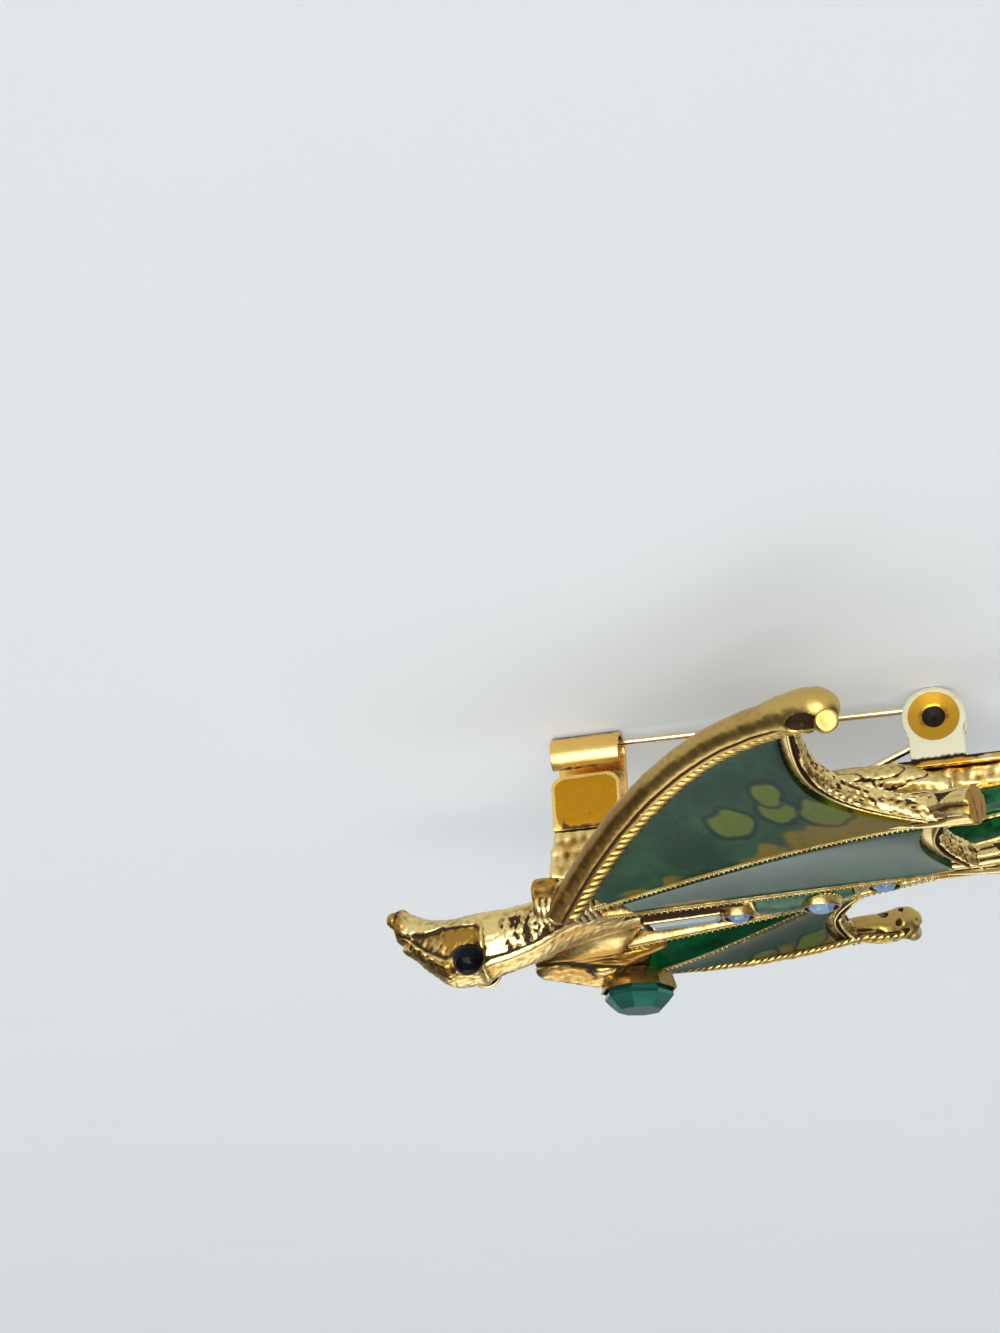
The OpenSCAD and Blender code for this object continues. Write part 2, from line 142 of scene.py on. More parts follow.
def plate(top, bottom):
    """Closed plate between two grids of points of the same size."""
    r, c = top.shape[:2]
    j, i = np.mgrid[:r - 1, :c - 1]
    a = j * c + i
    quads = np.stack([a, a + 1, a + c + 1, a + c], -1).reshape(-1, 4)
    edge = np.array([*range(c), *(k * c + c - 1 for k in range(1, r)),
                     *((r - 1) * c + k for k in range(c - 2, -1, -1)),
                     *(k * c for k in range(r - 2, 0, -1))])
    after = np.roll(edge, -1)
    wall = np.stack([edge, edge + r * c, after + r * c, after], -1)
    faces = np.concatenate([quads, quads[:, ::-1] + r * c, wall]).tolist()
    return np.concatenate([top.reshape(-1, 3), bottom.reshape(-1, 3)]), faces


def across(path):
    """Level direction to the left of each place on a path."""
    d = np.gradient(path, axis=0)
    return unit(np.stack([-d[:, 1], d[:, 0], 0 * d[:, 0]], 1))


def frames(path, side):
    """Direction along a path and the one that rises from it."""
    along = unit(np.gradient(path, axis=0))
    rise = unit(np.cross(side, along))
    return along, rise * np.sign(rise[:, 2:3])


def sweep(path, side, section):
    """Solid with a section of (out, up) pairs along a path, one section for all places or one for each."""
    rise = frames(path, side)[1]
    return rings(path[:, None] + section[..., :1] * side[:, None] + section[..., 1:] * rise[:, None])


def tube(path, side, rise, radius, count):
    """Rings of points round a path, in the plane of two directions, with a radius for each place."""
    side, rise = (np.broadcast_to(v, path.shape)[:, None] for v in (side, rise))
    r = np.broadcast_to(radius, len(path))[:, None, None]
    a = turns(count)[None, :, None]
    return path[:, None] + r * (np.cos(a) * side + np.sin(a) * rise)


def taken(bm):
    """The points and faces of a bmesh, which is freed."""
    bm.verts.index_update()
    points = np.array([v.co for v in bm.verts])
    faces = [[v.index for v in f.verts] for f in bm.faces]
    bm.free()
    return points, faces


def ball(facets=10):
    """Sphere of radius 1."""
    bm = bmesh.new()
    bmesh.ops.create_uvsphere(bm, u_segments=facets, v_segments=facets // 2 + 1, radius=1)
    return taken(bm)


def studs(path, side, pitch, radii, lean=0.0, seed=1):
    """Row of small domes along a path, a little uneven as a cast beaded edge is."""
    along, rise = frames(path, side)
    length = np.concatenate([[0], np.cumsum(np.linalg.norm(np.diff(path, axis=0), axis=1))])
    places = np.arange(pitch / 2, length[-1], pitch)
    rng = np.random.default_rng(seed)
    shape, faces = ball()
    points = []
    for place in places:
        at, a, s, r = (np.array([np.interp(place, length, v[:, c]) for c in range(3)])
                       for v in (path, along, side, rise))
        a, s = unit(a * cos(lean) + s * sin(lean)), unit(s * cos(lean) - a * sin(lean))
        size = np.array(radii) * rng.uniform(0.85, 1.1, 3)
        points.append(at + shape * size @ np.array([a, s, r]))
    count = len(shape)
    return np.concatenate(points), [[v + k * count for v in f] for k in range(len(places)) for f in faces]


def read_points(mesh):
    """The places and normals of a mesh's points."""
    places, normals = np.empty(len(mesh.vertices) * 3), np.empty(len(mesh.vertices) * 3)
    mesh.vertices.foreach_get("co", places)
    mesh.vertices.foreach_get("normal", normals)
    return places.reshape(-1, 3), normals.reshape(-1, 3)


# How far a point stands out, in millimetres, where its relief is counted as full
FULL_RELIEF = 0.07


def relief_of(mesh, rounds=14):
    """How far each point stands out of the surface round it: -1 in hollows, 1 on edges."""
    n = len(mesh.vertices)
    co, normal = read_points(mesh)
    co = co / MM
    ends = np.empty(len(mesh.edges) * 2, int)
    mesh.edges.foreach_get("vertices", ends)
    a, b = ends.reshape(-1, 2).T
    count = np.maximum(np.bincount(a, minlength=n) + np.bincount(b, minlength=n), 1)[:, None]
    calm = co.copy()
    for _ in range(rounds):
        total = np.stack([np.bincount(a, c[b], n) + np.bincount(b, c[a], n) for c in calm.T], 1)
        calm = 0.5 * calm + 0.5 * total / count
    return np.clip(((co - calm) * normal).sum(1) / FULL_RELIEF, -1, 1)


def joined(name, parts):
    """Mesh of closed parts, each given as points and faces, with every face turned outwards."""
    start, points, faces = 0, [], []
    for part_points, part_faces in parts:
        points.append(part_points)
        faces += [[v + start for v in f] for f in part_faces]
        start += len(part_points)
    mesh = bpy.data.meshes.new(name)
    mesh.from_pydata(np.concatenate(points).tolist(), [], faces)
    bm = bmesh.new()
    bm.from_mesh(mesh)
    bmesh.ops.recalc_face_normals(bm, faces=bm.faces)
    bm.to_mesh(mesh)
    bm.free()
    return mesh


def placed(name, mesh, material, nodes, body, sharp, fields):
    """Piece with a mesh, standing for CAD nodes, with fields of numbers on its points."""
    for key, values in fields.items():
        mesh.attributes.new(key, "FLOAT", "POINT").data.foreach_set("value", np.asarray(values, np.float32))
    mesh.shade_smooth()
    mesh.set_sharp_from_angle(angle=radians(sharp))
    mesh.materials.append(material)
    piece = bpy.data.objects.new(name, mesh)
    bpy.context.scene.collection.objects.link(piece)
    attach(piece, body)
    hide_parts(*nodes)
    return piece


def solid(name, parts, material, slot, nodes, body="brooch", sharp=40.0, **fields):
    """One piece from closed parts.

    A part is its points and faces, and it may have marks: how soiled and how toned each point is.
    On some pieces these marks also carry painted shade and painted highlights.
    """
    mesh = joined(name, [((points + CENTRE) * MM, faces) for points, faces, *_ in parts])
    fields["relief"] = relief_of(mesh)
    for key in ("soil", "tone"):
        fields[key] = np.concatenate([np.broadcast_to(marks[0].get(key, 0.0) if marks else 0.0, len(points))
                                      for points, _, *marks in parts])
    return placed(name, mesh, material, nodes, body, sharp, fields)


class Field:
    """One output of a shader node, with arithmetic on its number."""

    def __init__(self, tree, socket=None):
        self.tree = tree
        self.socket = socket

    def add(self, kind, settings=(), values=(), out=0):
        """New node of a kind, with its settings first and then its sockets' values or links."""
        node = self.tree.nodes.new("ShaderNode" + kind)
        for key, value in dict(settings).items():
            setattr(node, key, value)
        for key, value in dict(values).items():
            if isinstance(value, Field):
                self.tree.links.new(node.inputs[key], value.socket)
            else:
                node.inputs[key].default_value = value
        return Field(self.tree, node.outputs[out])

    def calc(self, operation, a, b=0.0):
        return self.add("Math", {"operation": operation}, {0: a, 1: b})

    def __add__(self, other):
        return self.calc("ADD", self, other)

    __radd__ = __add__

    def __sub__(self, other):
        return self.calc("SUBTRACT", self, other)

    def __rsub__(self, other):
        return self.calc("SUBTRACT", other, self)

    def __mul__(self, other):
        return self.calc("MULTIPLY", self, other)

    __rmul__ = __mul__

    def __truediv__(self, other):
        return self.calc("DIVIDE", self, other)

    def step(self, low, high):
        """0 below low, 1 above high and smooth between."""
        return self.add("MapRange", {"interpolation_type": "SMOOTHSTEP"},
                        {"Value": self, "From Min": low, "From Max": high})

    def tint(self, low, high):
        """Colour from low to high as this number goes from 0 to 1."""
        low, high = (c if isinstance(c, Field) else (*c, 1) for c in (low, high))
        return self.add("Mix", {"data_type": "RGBA"}, {0: self, 6: low, 7: high}, out=2)

    def place(self):
        """Where a point is, in the object's own coordinates."""
        return self.add("TexCoord", out=3)

    def noise(self, size, detail=3.0, rough=0.55):
        """Even noise on the object's own coordinates, with grain of a size in millimetres."""
        return self.add("TexNoise", {}, {"Vector": self.place(), "Scale": 1 / (size * MM), "Detail": detail,
                                         "Roughness": rough})

    def stored(self, key):
        """Numbers kept on the mesh's points."""
        return self.add("Attribute", {"attribute_name": key}, out=2)

    def bump(self, height, strength, depth):
        """Normal of a surface with these heights, as shares of a depth in millimetres."""
        return self.add("Bump", {}, {"Strength": strength, "Distance": depth * MM, "Height": height})


def finish_of(name, roughness=0.5, **constants):
    """New material with its Principled shader: the material, the shader node and an empty field."""
    material = bpy.data.materials.new(name)
    material.use_nodes = True
    shader = material.node_tree.nodes["Principled BSDF"]
    shader.inputs["Roughness"].default_value = roughness
    for key, value in constants.items():
        shader.inputs[key.replace("_", " ")].default_value = value
    return material, shader, Field(material.node_tree)


def join(shader, key, field):
    field.tree.links.new(shader.inputs[key], field.socket)


# Sizes in the gold in millimetres: its clouds of toning, its grain and specks, and how far a hollow shelters
GOLD_CLOUD, GOLD_GRAIN, GOLD_SPECK = 3.2, 0.55, 0.16
SHELTER_REACH = 0.9


def antique_gold(name, bright, toned, patina, dirt=0.0, grain=1.0, rough=0.2, mottle=1.0, round_shade_and_tone=None):
    """Gold plate rubbed bright on what stands out, toned in clouds, and brown in what lies deep.

    The last argument is a function that gives more painted shade and more tone by place, in round marks.
    """
    material, shader, field = finish_of(name, Specular_IOR_Level=0.2)
    soil_and_shade_mark, tone_and_shading_mark = field.stored("soil"), field.stored("tone")
    if round_shade_and_tone:
        more_shade, more_tone_and_shade = round_shade_and_tone(field)
        soil_and_shade_mark, tone_and_shading_mark = soil_and_shade_mark + more_shade, tone_and_shading_mark + more_tone_and_shade
    cloud = field.noise(GOLD_CLOUD, 4.0)
    fine = field.noise(GOLD_GRAIN, 4.0, 0.65)
    speck = field.noise(GOLD_SPECK, 2.0)
    relief = field.stored("relief")
    shelter = 1 - field.add("AmbientOcclusion", {"samples": 8}, {"Distance": SHELTER_REACH * MM}, out=1)
    # How deep and soiled each point is; the soil mark also brings in painted shade from some pieces
    deep = shelter * 0.75 + fine * 0.55 + cloud * 0.25 - relief * 0.45 + soil_and_shade_mark + dirt
    soil = deep.step(0.54, 0.94)
    stain = (cloud - 0.5) * (0.9 * mottle) + (fine - 0.5) * (0.5 * mottle) + 0.7
    warm = (stain - relief * 0.35 + tone_and_shading_mark).step(0.42, 0.95)
    join(shader, "Base Color", soil.tint(warm.tint(bright, toned), patina))
    join(shader, "Metallic", 1 - soil * 0.85)
    join(shader, "Roughness", rough + fine * 0.16 + soil * 0.3)
    join(shader, "Normal", field.bump(fine * 0.8 + speck * 0.35, 0.55 * grain, 0.05))
    return material


PALE_GOLD = (0.86, 0.66, 0.27)
TONED_GOLD = (0.41, 0.215, 0.035)
PATINA = (0.028, 0.013, 0.004)
cast_gold = antique_gold("cast_antique_gold", PALE_GOLD, TONED_GOLD, PATINA)
bar_gold = antique_gold("bar_satin_gold", (0.62, 0.42, 0.12), (0.34, 0.19, 0.05), PATINA,
                        dirt=-0.06, grain=0.7, rough=0.27, mottle=0.45)


def cast(name, parts, material=cast_gold, sharp=40.0):
    """Piece of the one casting."""
    solid(name, parts, material, "antique_gold", ["casting"], sharp=sharp)


# The milled crest on a bar: its half width and that of the ridge under its teeth, the ridge's half height,
# and the teeth's pitch, their half sizes along, across and up, and their slant in radians
CREST_W = 0.85
RIDGE_W = 0.85 * CREST_W
RIDGE_H = 0.3
TOOTH_PITCH = 0.72
TOOTH = (0.22, CREST_W, 0.42)
TOOTH_SLANT = 0.6


def rope(path, side, seed):
    """Milled crest: a low ridge crossed by slanting teeth, dark between them."""
    rise = frames(path, side)[1]
    ridge = sweep(path, side, circle(1, turns(12)) * (RIDGE_W, RIDGE_H))
    teeth = studs(path + 0.1 * rise, side, TOOTH_PITCH, TOOTH, TOOTH_SLANT, seed)
    return [(*ridge, {"soil": 0.9}), (*teeth, {"tone": 0.1, "soil": 0.05})]


# Along each front bar, from the shoulder at 0 to its finger's tip at 1: its end, where its two furrows fade,
# where its tip starts and has done swelling, and where its end starts to round off and for how long it does
BAR_END_T = 1.03
FURROW_END_T = (0.84, 0.9)
TIP_T = (0.80, 0.96)
ROUND_T, ROUND_LENGTH = 0.972, 0.0585
# The furrows' turns round the bar in radians, and their width and their share of its radius
FURROW_TURNS = (1.42, 2.85)
FURROW_W = 0.16
FURROW_DEPTH = 0.16
# How much thicker the tip is, how far it hangs below its finger, and how deep its wear and dents are
TIP_SWELL = 0.36
TIP_DROP = 0.5
WEAR = 0.02
DENTS = 0.012
# Of the places along the bar, the one whose side the tip takes, and those that carry the crest
BAR_PLACES = 300
TIP_PLACE = 270
CREST_PLACES = slice(6, 274)
# The pit in the tip, a dent with three half sizes, and the peg, by places along it and its radius there
PIT_T = 0.947
PIT_HALF = np.array((1.5, 0.9, 1.0))
PIT_DEPTH = 0.8
PEG_RUN = np.array((-1.6, -1.4, 0.0, 0.06, 0.09, 0.07))
PEG_R = np.array((0.5, 0.78, 0.8, 0.76, 0.66, 0.5))
PEG_SOIL = (0.9, 0.8, 0.1, -0.4, -0.5, -0.5)
PEG_SIDES = 32


def pit(points, finger, tip_side):
    """How deep each point lies in the pit of a bar's tip, from 0 to 1, and the way out of it."""
    pit_out = 0.9 * UP + 0.44 * tip_side
    pit_at = on(finger, PIT_T) - TIP_DROP * UP + 1.5 * pit_out
    pit_axes = unit(np.stack([on(finger, 0.95) - on(finger, 0.9), 0.9 * tip_side - 0.44 * UP, pit_out]))
    local = (points - pit_at) @ pit_axes.T / PIT_HALF
    return np.sqrt(np.clip(1 - (local ** 2).sum(1), 0, 1)), pit_out


def peg(finger, tip_side):
    """Short round peg beside a bar's tip, with a bright flat end that faces ahead and outwards."""
    ahead = unit(on(finger, 1.0) - on(finger, 0.95))
    along = unit(ahead + 1.2 * tip_side + 0.2 * UP)
    at = on(finger, 1.0) + 0.65 * UP + 0.78 * tip_side + 0.52 * ahead
    side = unit(np.cross(UP, along))
    points, faces = rings(tube(at + PEG_RUN[:, None] * along, side, np.cross(along, side), PEG_R, PEG_SIDES))
    return points, faces, {"soil": np.repeat(PEG_SOIL, PEG_SIDES), "tone": -0.6}


def front_bar(finger, out, drop, shift, crags, seed):
    """Thick front bar with a smooth flank, a milled crest and a swollen tip with a peg and a pit.

    Drop and shift set the bar off its finger, and crags is how deep the tip is furrowed.
    """
    t = np.linspace(0, BAR_END_T, BAR_PLACES)
    swell = step(*TIP_T, t)
    side = out * across(on(finger, t))
    path = on(finger, t) - mix(drop, TIP_DROP, swell)[:, None] * UP + (shift * (1 - swell))[:, None] * side
    turn = turns(72)
    rounded = np.sqrt(1 - np.clip((t - ROUND_T) / ROUND_LENGTH, 0, 0.998) ** 2)
    furrow = sum(peak(turn, at, FURROW_W) for at in FURROW_TURNS) * (1 - step(*FURROW_END_T, t))[:, None]
    r = ((BAR_R + TIP_SWELL * swell) * rounded)[:, None] * (1 - FURROW_DEPTH * furrow)
    points, faces = sweep(path, side, circle(r, turn))
    crag = step(0.1, 1.1, noise(points, 1.5, seed + 2)) * np.repeat(swell, len(turn))
    uneven = WEAR * noise(points, 2.6, seed) + DENTS * noise(points, 0.8, seed + 1) - crags * crag
    points = points + unit(points - np.repeat(path, len(turn), 0)) * uneven[:, None]
    depth, pit_out = pit(points, finger, side[TIP_PLACE])
    points = points - PIT_DEPTH * depth[:, None] * pit_out
    marks = {"soil": 0.7 * furrow.ravel() - 0.1 + 4 * crags * crag + 1.3 * step(0.1, 0.4, depth),
             "tone": np.repeat(0.35 * (1 - step(0.2, 0.6, t)) - 0.5 * swell, len(turn))}
    crest = path + (BAR_R + 0.2 * swell)[:, None] * (-0.56 * side + 0.68 * frames(path, side)[1])
    return [(points, faces, marks), peg(finger, side[TIP_PLACE]),
            *rope(crest[CREST_PLACES], side[CREST_PLACES], seed)]


# A rib's section, as pairs of out and up from its finger, and the beads along its top
RIB_SECTION = np.array([(-0.36, -0.75), (-0.33, -0.2), (-0.22, -0.04), (-0.11, 0.03), (0.11, 0.03),
                        (0.22, -0.04), (0.33, -0.2), (0.36, -0.75)])
RIB_BEAD = (0.14, 0.16, 0.12)
RIB_BEAD_SLANT = 0.3


def rib(finger, stop, pitch, seed):
    """Thin rib between two cells, with a beaded top."""
    path = on(finger, np.linspace(0.01, stop, 120))
    side = across(path)
    core = sweep(path, side, RIB_SECTION)
    beads = studs(path + 0.04 * UP, side, pitch, RIB_BEAD, RIB_BEAD_SLANT, seed)
    return [(*core, {"soil": 0.6, "tone": 0.3}), (*beads, {"tone": 0.35, "soil": 0.12})]


# Each wrinkle along a finger's end: its turn and its width
WRINKLES = ((0.3, 0.12), (0.9, 0.07), (1.7, 0.14), (2.6, 0.1), (4.1, 0.1), (5.0, 0.08), (5.7, 0.13))
WRINKLE_DEPTH = 0.1
# The V cut: where it starts along the finger and how long it is, and the same round it in radians
CUT_T, CUT_LENGTH = 0.92, 0.065
CUT_TURN, CUT_WIDTH = 5.3, 0.95
CUT_DEPTH = 0.2
LIP_H = 0.05
# The last places along the finger, and how much smaller its radius is there, round its flat face
FACE_T = (0.998, 1.0, 1.0003)
FACE_ROUNDING = (0.02, 0.09, 0.35)


def finger_end(finger, t0, r0, r1, drop, out, seed):
    """Round end of a rib, wrinkled along its length, cut off flat, with a V cut in beside the end."""
    t = np.concatenate([np.linspace(t0, 0.992, 120), FACE_T])
    path = on(finger, t) - drop * UP
    side = out * across(on(finger, t))
    turn = turns(64)
    r = mix(r0, r1, step(t0, 0.98, t))[:, None] * np.ones_like(turn)
    wander = 0.1 * np.sin(t * 40 + seed)[:, None]
    wrinkle = sum(peak((turn + wander - at + pi) % (2 * pi), pi, width) for at, width in WRINKLES)
    wrinkle = wrinkle * step(t0, t0 + 0.08, t)[:, None]
    cut_t, cut_turn = (t[:, None] - CUT_T) / CUT_LENGTH, (turn - CUT_TURN) / CUT_WIDTH
    within = np.minimum(cut_t / 0.3, (1 - cut_t) / 0.7) - cut_turn
    cut = step(0, 0.12, within) * step(0, 0.1, cut_turn)
    lip = peak(within, 0, 0.1) * step(0, 0.1, cut_turn) * (cut_t > 0) * (cut_t < 1)
    r = r - WRINKLE_DEPTH * wrinkle - CUT_DEPTH * cut + LIP_H * lip
    r[-len(FACE_T):] -= np.array(FACE_ROUNDING)[:, None]
    points, faces = sweep(path, side, circle(r, turn))
    local = np.stack([6 * t[:, None] + 0 * r, r * np.cos(turn), r * np.sin(turn)], -1).reshape(-1, 3)
    uneven = 0.07 * noise(local, 0.9, seed)
    points = points + unit(points - np.repeat(path, len(turn), 0)) * uneven[:, None]
    face = np.repeat(t >= FACE_T[0], len(turn))
    rough = 0.5 * step(0.7, 1.3, noise(local * (2, 1, 1), 0.6, seed + 9)) * ~face
    soil = (0.8 * wrinkle + 1.2 * cut - 0.4 * lip).ravel() + rough - 0.25 + 0.3 * face
    return points, faces, {"soil": soil, "tone": 0.6 * face}


# A rim's section, as pairs of out and up from its path, and how soiled each of them is
RIM_SECTION = np.array([(-0.45, -1.5), (-0.45, 0.0), (-0.38, 0.11), (-0.28, 0.13), (-0.2, 0.02),
                        (-0.13, -0.2), (0.0, -0.22), (0.09, 0.03), (0.2, 0.09), (0.34, 0.04),
                        (0.44, -0.16), (0.5, -0.5), (0.5, -0.9), (0.46, -1.3), (0.4, -1.55)])
RIM_SOIL = (0.5, 0.2, -0.5, -0.4, 0.5, 1.2, 1.2, 0.4, -0.2, -0.1, 0.0, 0.1, 0.15, 0.2, 0.3)
OUTER_BAND = 0.05


def rim(panel, seed):
    """Scalloped edge behind a cell: a thin bright line, a groove and a rough outer band."""
    s = np.linspace(0, 1, 200)
    path = web(panel, s, edge_t(panel, s))
    side = across(path)
    side = -side * np.sign(side[len(s) // 2, 0])
    corners = range(len(RIM_SOIL))
    places = np.linspace(0, len(RIM_SOIL) - 1, 38)
    section = np.stack([np.interp(places, corners, RIM_SECTION[:, c]) for c in (0, 1)], 1)
    points, faces = sweep(path, side, section)
    local, depth = np.tile(section.T, len(s))
    flow = np.stack([np.repeat(7 * s, len(section)), 3 * local, 3 * depth], 1)
    outer = local > OUTER_BAND
    rough = (0.05 * noise(flow, 1.1, seed) + 0.03 * noise(points, 0.5, seed + 1)) * outer
    points = points + rough[:, None] * np.repeat(side, len(section), 0)
    pitted = 0.9 * step(0.5, 1.1, noise(flow * (3, 1.5, 1.5), 0.9, seed + 2)) * outer
    return points, faces, {"soil": np.tile(np.interp(places, corners, RIM_SOIL), len(s)) + pitted}


def floor_of(panel, seed):
    """Cast floor under a cell, uneven below."""
    s = np.linspace(0, 1, 36)[None, :]
    t = mix(0.02, edge_t(panel, s), np.linspace(0, 1, 80)[:, None])
    top = web(panel, s, t) - (ENAMEL_T + GAP) * UP
    low = top - FLOOR_T * UP
    return *plate(top, low + (0.05 * noise(low, 1.6, seed))[..., None] * UP), {"soil": 0.2}


# Each wing: its fingers and cells, which way is out, how far its bar hangs below its finger and lies outside
# it, how deep its tip is furrowed, and its seed
for wing, fingers, panels, out, drop, shift, crags, seed in (
        ("near", NEAR, (NEAR_LEAD, NEAR_TRAIL), 1, 0.3, 0.0, 0.02, 10),
        ("far", FAR, (FAR_LEAD, FAR_TRAIL), -1, 1.4, 0.1, 0.2, 40)):
    cast(wing + "_wing_bar", front_bar(fingers[0], out, drop, shift, crags, seed), bar_gold)
    cast(wing + "_wing_frame",
         [*rib(fingers[1], 0.95, 0.42, seed + 1), *rib(fingers[2], 0.94, 0.5, seed + 2),
          finger_end(fingers[1], 0.69, FINGER_R * 1.1, FINGER_R * 1.86, 1.1, out, seed + 3),
          finger_end(fingers[2], 0.8, FINGER_R * 1.1, FINGER_R * 1.77, 0.9, out, seed + 4),
          *(rim(panel, seed + 5) for panel in panels), *(floor_of(panel, seed + 6) for panel in panels)])

# The enamel of the wings: translucent green glass paste over the cast floors, level with the ribs, with
# olive discs ringed in dark and a yellow bloom along the middle rib. It is poured in the cells and polished.
# Each spot: how far across its membrane, how far along it, its radius, and 1 where olive or -1 where deep.
# Deep spots are partly thicker enamel and partly painted shade.
NEAR_LEAD_SPOTS = ((0.62, 0.38, 2.5, -1), (0.25, 0.8, 1.0, -1), (0.54, 0.53, 1.65, 1), (0.57, 0.66, 1.5, 1),
                   (0.42, 0.68, 1.2, 1), (0.68, 0.74, 1.7, 1), (0.52, 0.8, 1.1, 1))
NEAR_TRAIL_SPOTS = ((0.6, 0.34, 0.9, -1), (0.35, 0.9, 1.4, 1))
FAR_TRAIL_SPOTS = ((0.6, 0.3, 1.1, -1), (0.5, 0.5, 1.2, -1), (0.4, 0.62, 0.9, 1), (0.6, 0.78, 1.0, 1))
FAR_LEAD_SPOTS = ((0.8, 0.66, 1.5, 1), (0.86, 0.52, 1.2, 1), (0.8, 0.78, 1.1, 1), (0.3, 0.66, 1.2, -1),
                  (0.5, 0.4, 1.0, -1))
PANEL_ROWS = 150
PANEL_COLUMNS = 72
RIM_GAP_T = 0.04
# Sizes in the enamel in millimetres: its clouds, its wisps and the waves of its surface
ENAMEL_CLOUD, ENAMEL_WISP, ENAMEL_WAVE = 4.5, 1.1, 3.0


def enamel_finish(name, deep, mid, bloom, olive, cloudiness=1.0, sheen=0.08):
    """Glossy glass paste: deep where thick and in painted shade, bloom near the ribs, lighter spots ringed
    in dark.
    """
    material, shader, field = finish_of(name, IOR=1.5, Specular_IOR_Level=sheen, Coat_Roughness=0.04,
                                        Coat_IOR=1.5)
    cloud = field.noise(ENAMEL_CLOUD, 3.0)
    wisp = field.noise(ENAMEL_WISP, 4.0, 0.6)
    swirl = field.add("TexWave", {}, {"Vector": field.place(), "Scale": 0.22 / MM, "Distortion": 9.0,
                                      "Detail": 3.0}, out=1)
    base = (cloud * 1.3 * cloudiness + wisp * 0.4 - 0.35).step(0.2, 0.85).tint(deep, mid)
    sun = field.stored("bloom") * (wisp * 1.1 + cloud * 0.7 + 0.05)
    yellow = sun.step(0.2, 0.95).tint(base, bloom)
    spot = (field.stored("spot") * (wisp * 0.7 + 0.62)).step(0.1, 0.95)
    vein = field.stored("vein").step(0.1, 0.95) * 0.9
    # Deep colour where the enamel is thick, and painted shade where a deep spot stands for a shadow
    dimmed = (field.stored("thick") * 0.8).tint(spot.tint(yellow, olive), deep)
    join(shader, "Base Color", vein.tint(dimmed, tuple(c * 0.35 for c in deep)))
    join(shader, "Roughness", 0.22 + wisp * 0.12)
    join(shader, "Coat Weight", field.stored("gloss"))
    height = field.noise(ENAMEL_WAVE, 2.0) * 0.8 + wisp * 0.2 + swirl * 0.12
    join(shader, "Normal", field.bump(height, 0.5, 0.12))
    return material


wing_enamel = enamel_finish("wing_enamel", deep=(0.003, 0.026, 0.010), mid=(0.014, 0.058, 0.022),
                            bloom=(0.125, 0.085, 0.002), olive=(0.075, 0.10, 0.006))
deep_enamel = enamel_finish("deep_wing_enamel", deep=(0.0, 0.028, 0.008), mid=(0.001, 0.075, 0.024),
                            bloom=(0.1, 0.1, 0.004), olive=(0.03, 0.10, 0.01), sheen=0.0)


def enamel_skin(node, top, low, material, slot, **marks):
    """Enamel of one cell between two grids of points, with marks for its top that also hold below it."""
    for key, values in marks.items():
        marks[key] = np.tile(np.broadcast_to(values, top.shape[:2]).ravel(), 2)
    solid(node + "_skin", [plate(top, low)], material, slot, [node], sharp=50, **marks)


def wing_cell(node, panel, inset_a, inset_b, start, spots, blooms, gloss, finish):
    """Enamel of one wing cell, its spots and bloom kept as numbers on its points.

    Each inset is how far the enamel stays from a finger, at the shoulder and at the tip. Blooms are first t,
    last t, and their share of the width there. Gloss is that at the shoulder, that at the tip, and the share
    of it along the second finger.
    """
    def share(s, t):
        width = np.linalg.norm(on(panel[0], t) - on(panel[1], t), axis=-1)
        ramp = np.clip((t - 0.78) / 0.14, 0, 1)
        return mix(mix(*inset_a, ramp) / width, 1 - mix(*inset_b, ramp) / width, s)

    s = np.linspace(0, 1, PANEL_COLUMNS)[None, :] * np.ones((PANEL_ROWS, 1))
    stop = edge_t(panel, share(s, edge_t(panel, s))) - RIM_GAP_T
    t = mix(start, stop, np.linspace(0, 1, PANEL_ROWS)[:, None])
    where = share(s, t)
    top, low = web(panel, where, t), web(panel, where, t) - ENAMEL_T * UP
    to_edge = np.minimum.reduce([s, 1 - s, (stop - t) * 3])
    top = top + (0.07 * np.exp(-to_edge / 0.03) - 0.04)[..., None] * UP
    spot, vein, thick, bloom = np.zeros((4, *s.shape))
    # Olive spots, and deep spots that are partly thicker enamel and partly painted shade
    for spot_s, spot_t, radius, kind in spots:
        distance = np.linalg.norm(top - web(panel, spot_s, spot_t), axis=-1) + 0.2 * noise(top, 2.2, 5)
        inside = 1 - step(radius - 0.3, radius + 0.05, distance)
        ring = peak(distance, radius + 0.2, 0.26)
        vein = np.maximum(vein * (1 - inside), ring * (0.85 if kind > 0 else 0.35))
        if kind > 0:
            spot = np.maximum(spot, inside)
        else:
            thick = np.maximum(thick, inside)
    wander = np.abs(noise(top, 3.4, 12) + 0.6 * noise(top, 1.5, 13))
    vein = np.maximum(vein, 0.6 * peak(wander, 0, 0.1))
    for first, last, narrow, wide in blooms:
        along = span(t, first, first + 0.1, last - 0.05, last + 0.05)
        reach = mix(narrow, wide, step(first, last, t))
        within = step(1 - reach, 1.04 - 0.35 * reach, s + 0.08 * noise(top, 2.4, 8))
        bloom = np.maximum(bloom, within * along)
    shine = mix(gloss[0], gloss[1], step(0.4, 0.8, t)) * mix(1.0, gloss[2], step(0.1, 0.8, where))
    enamel_skin(node, top, low, finish, "enamel", spot=spot, vein=vein, bloom=bloom * (1 - 0.4 * spot),
                thick=thick, gloss=shine)


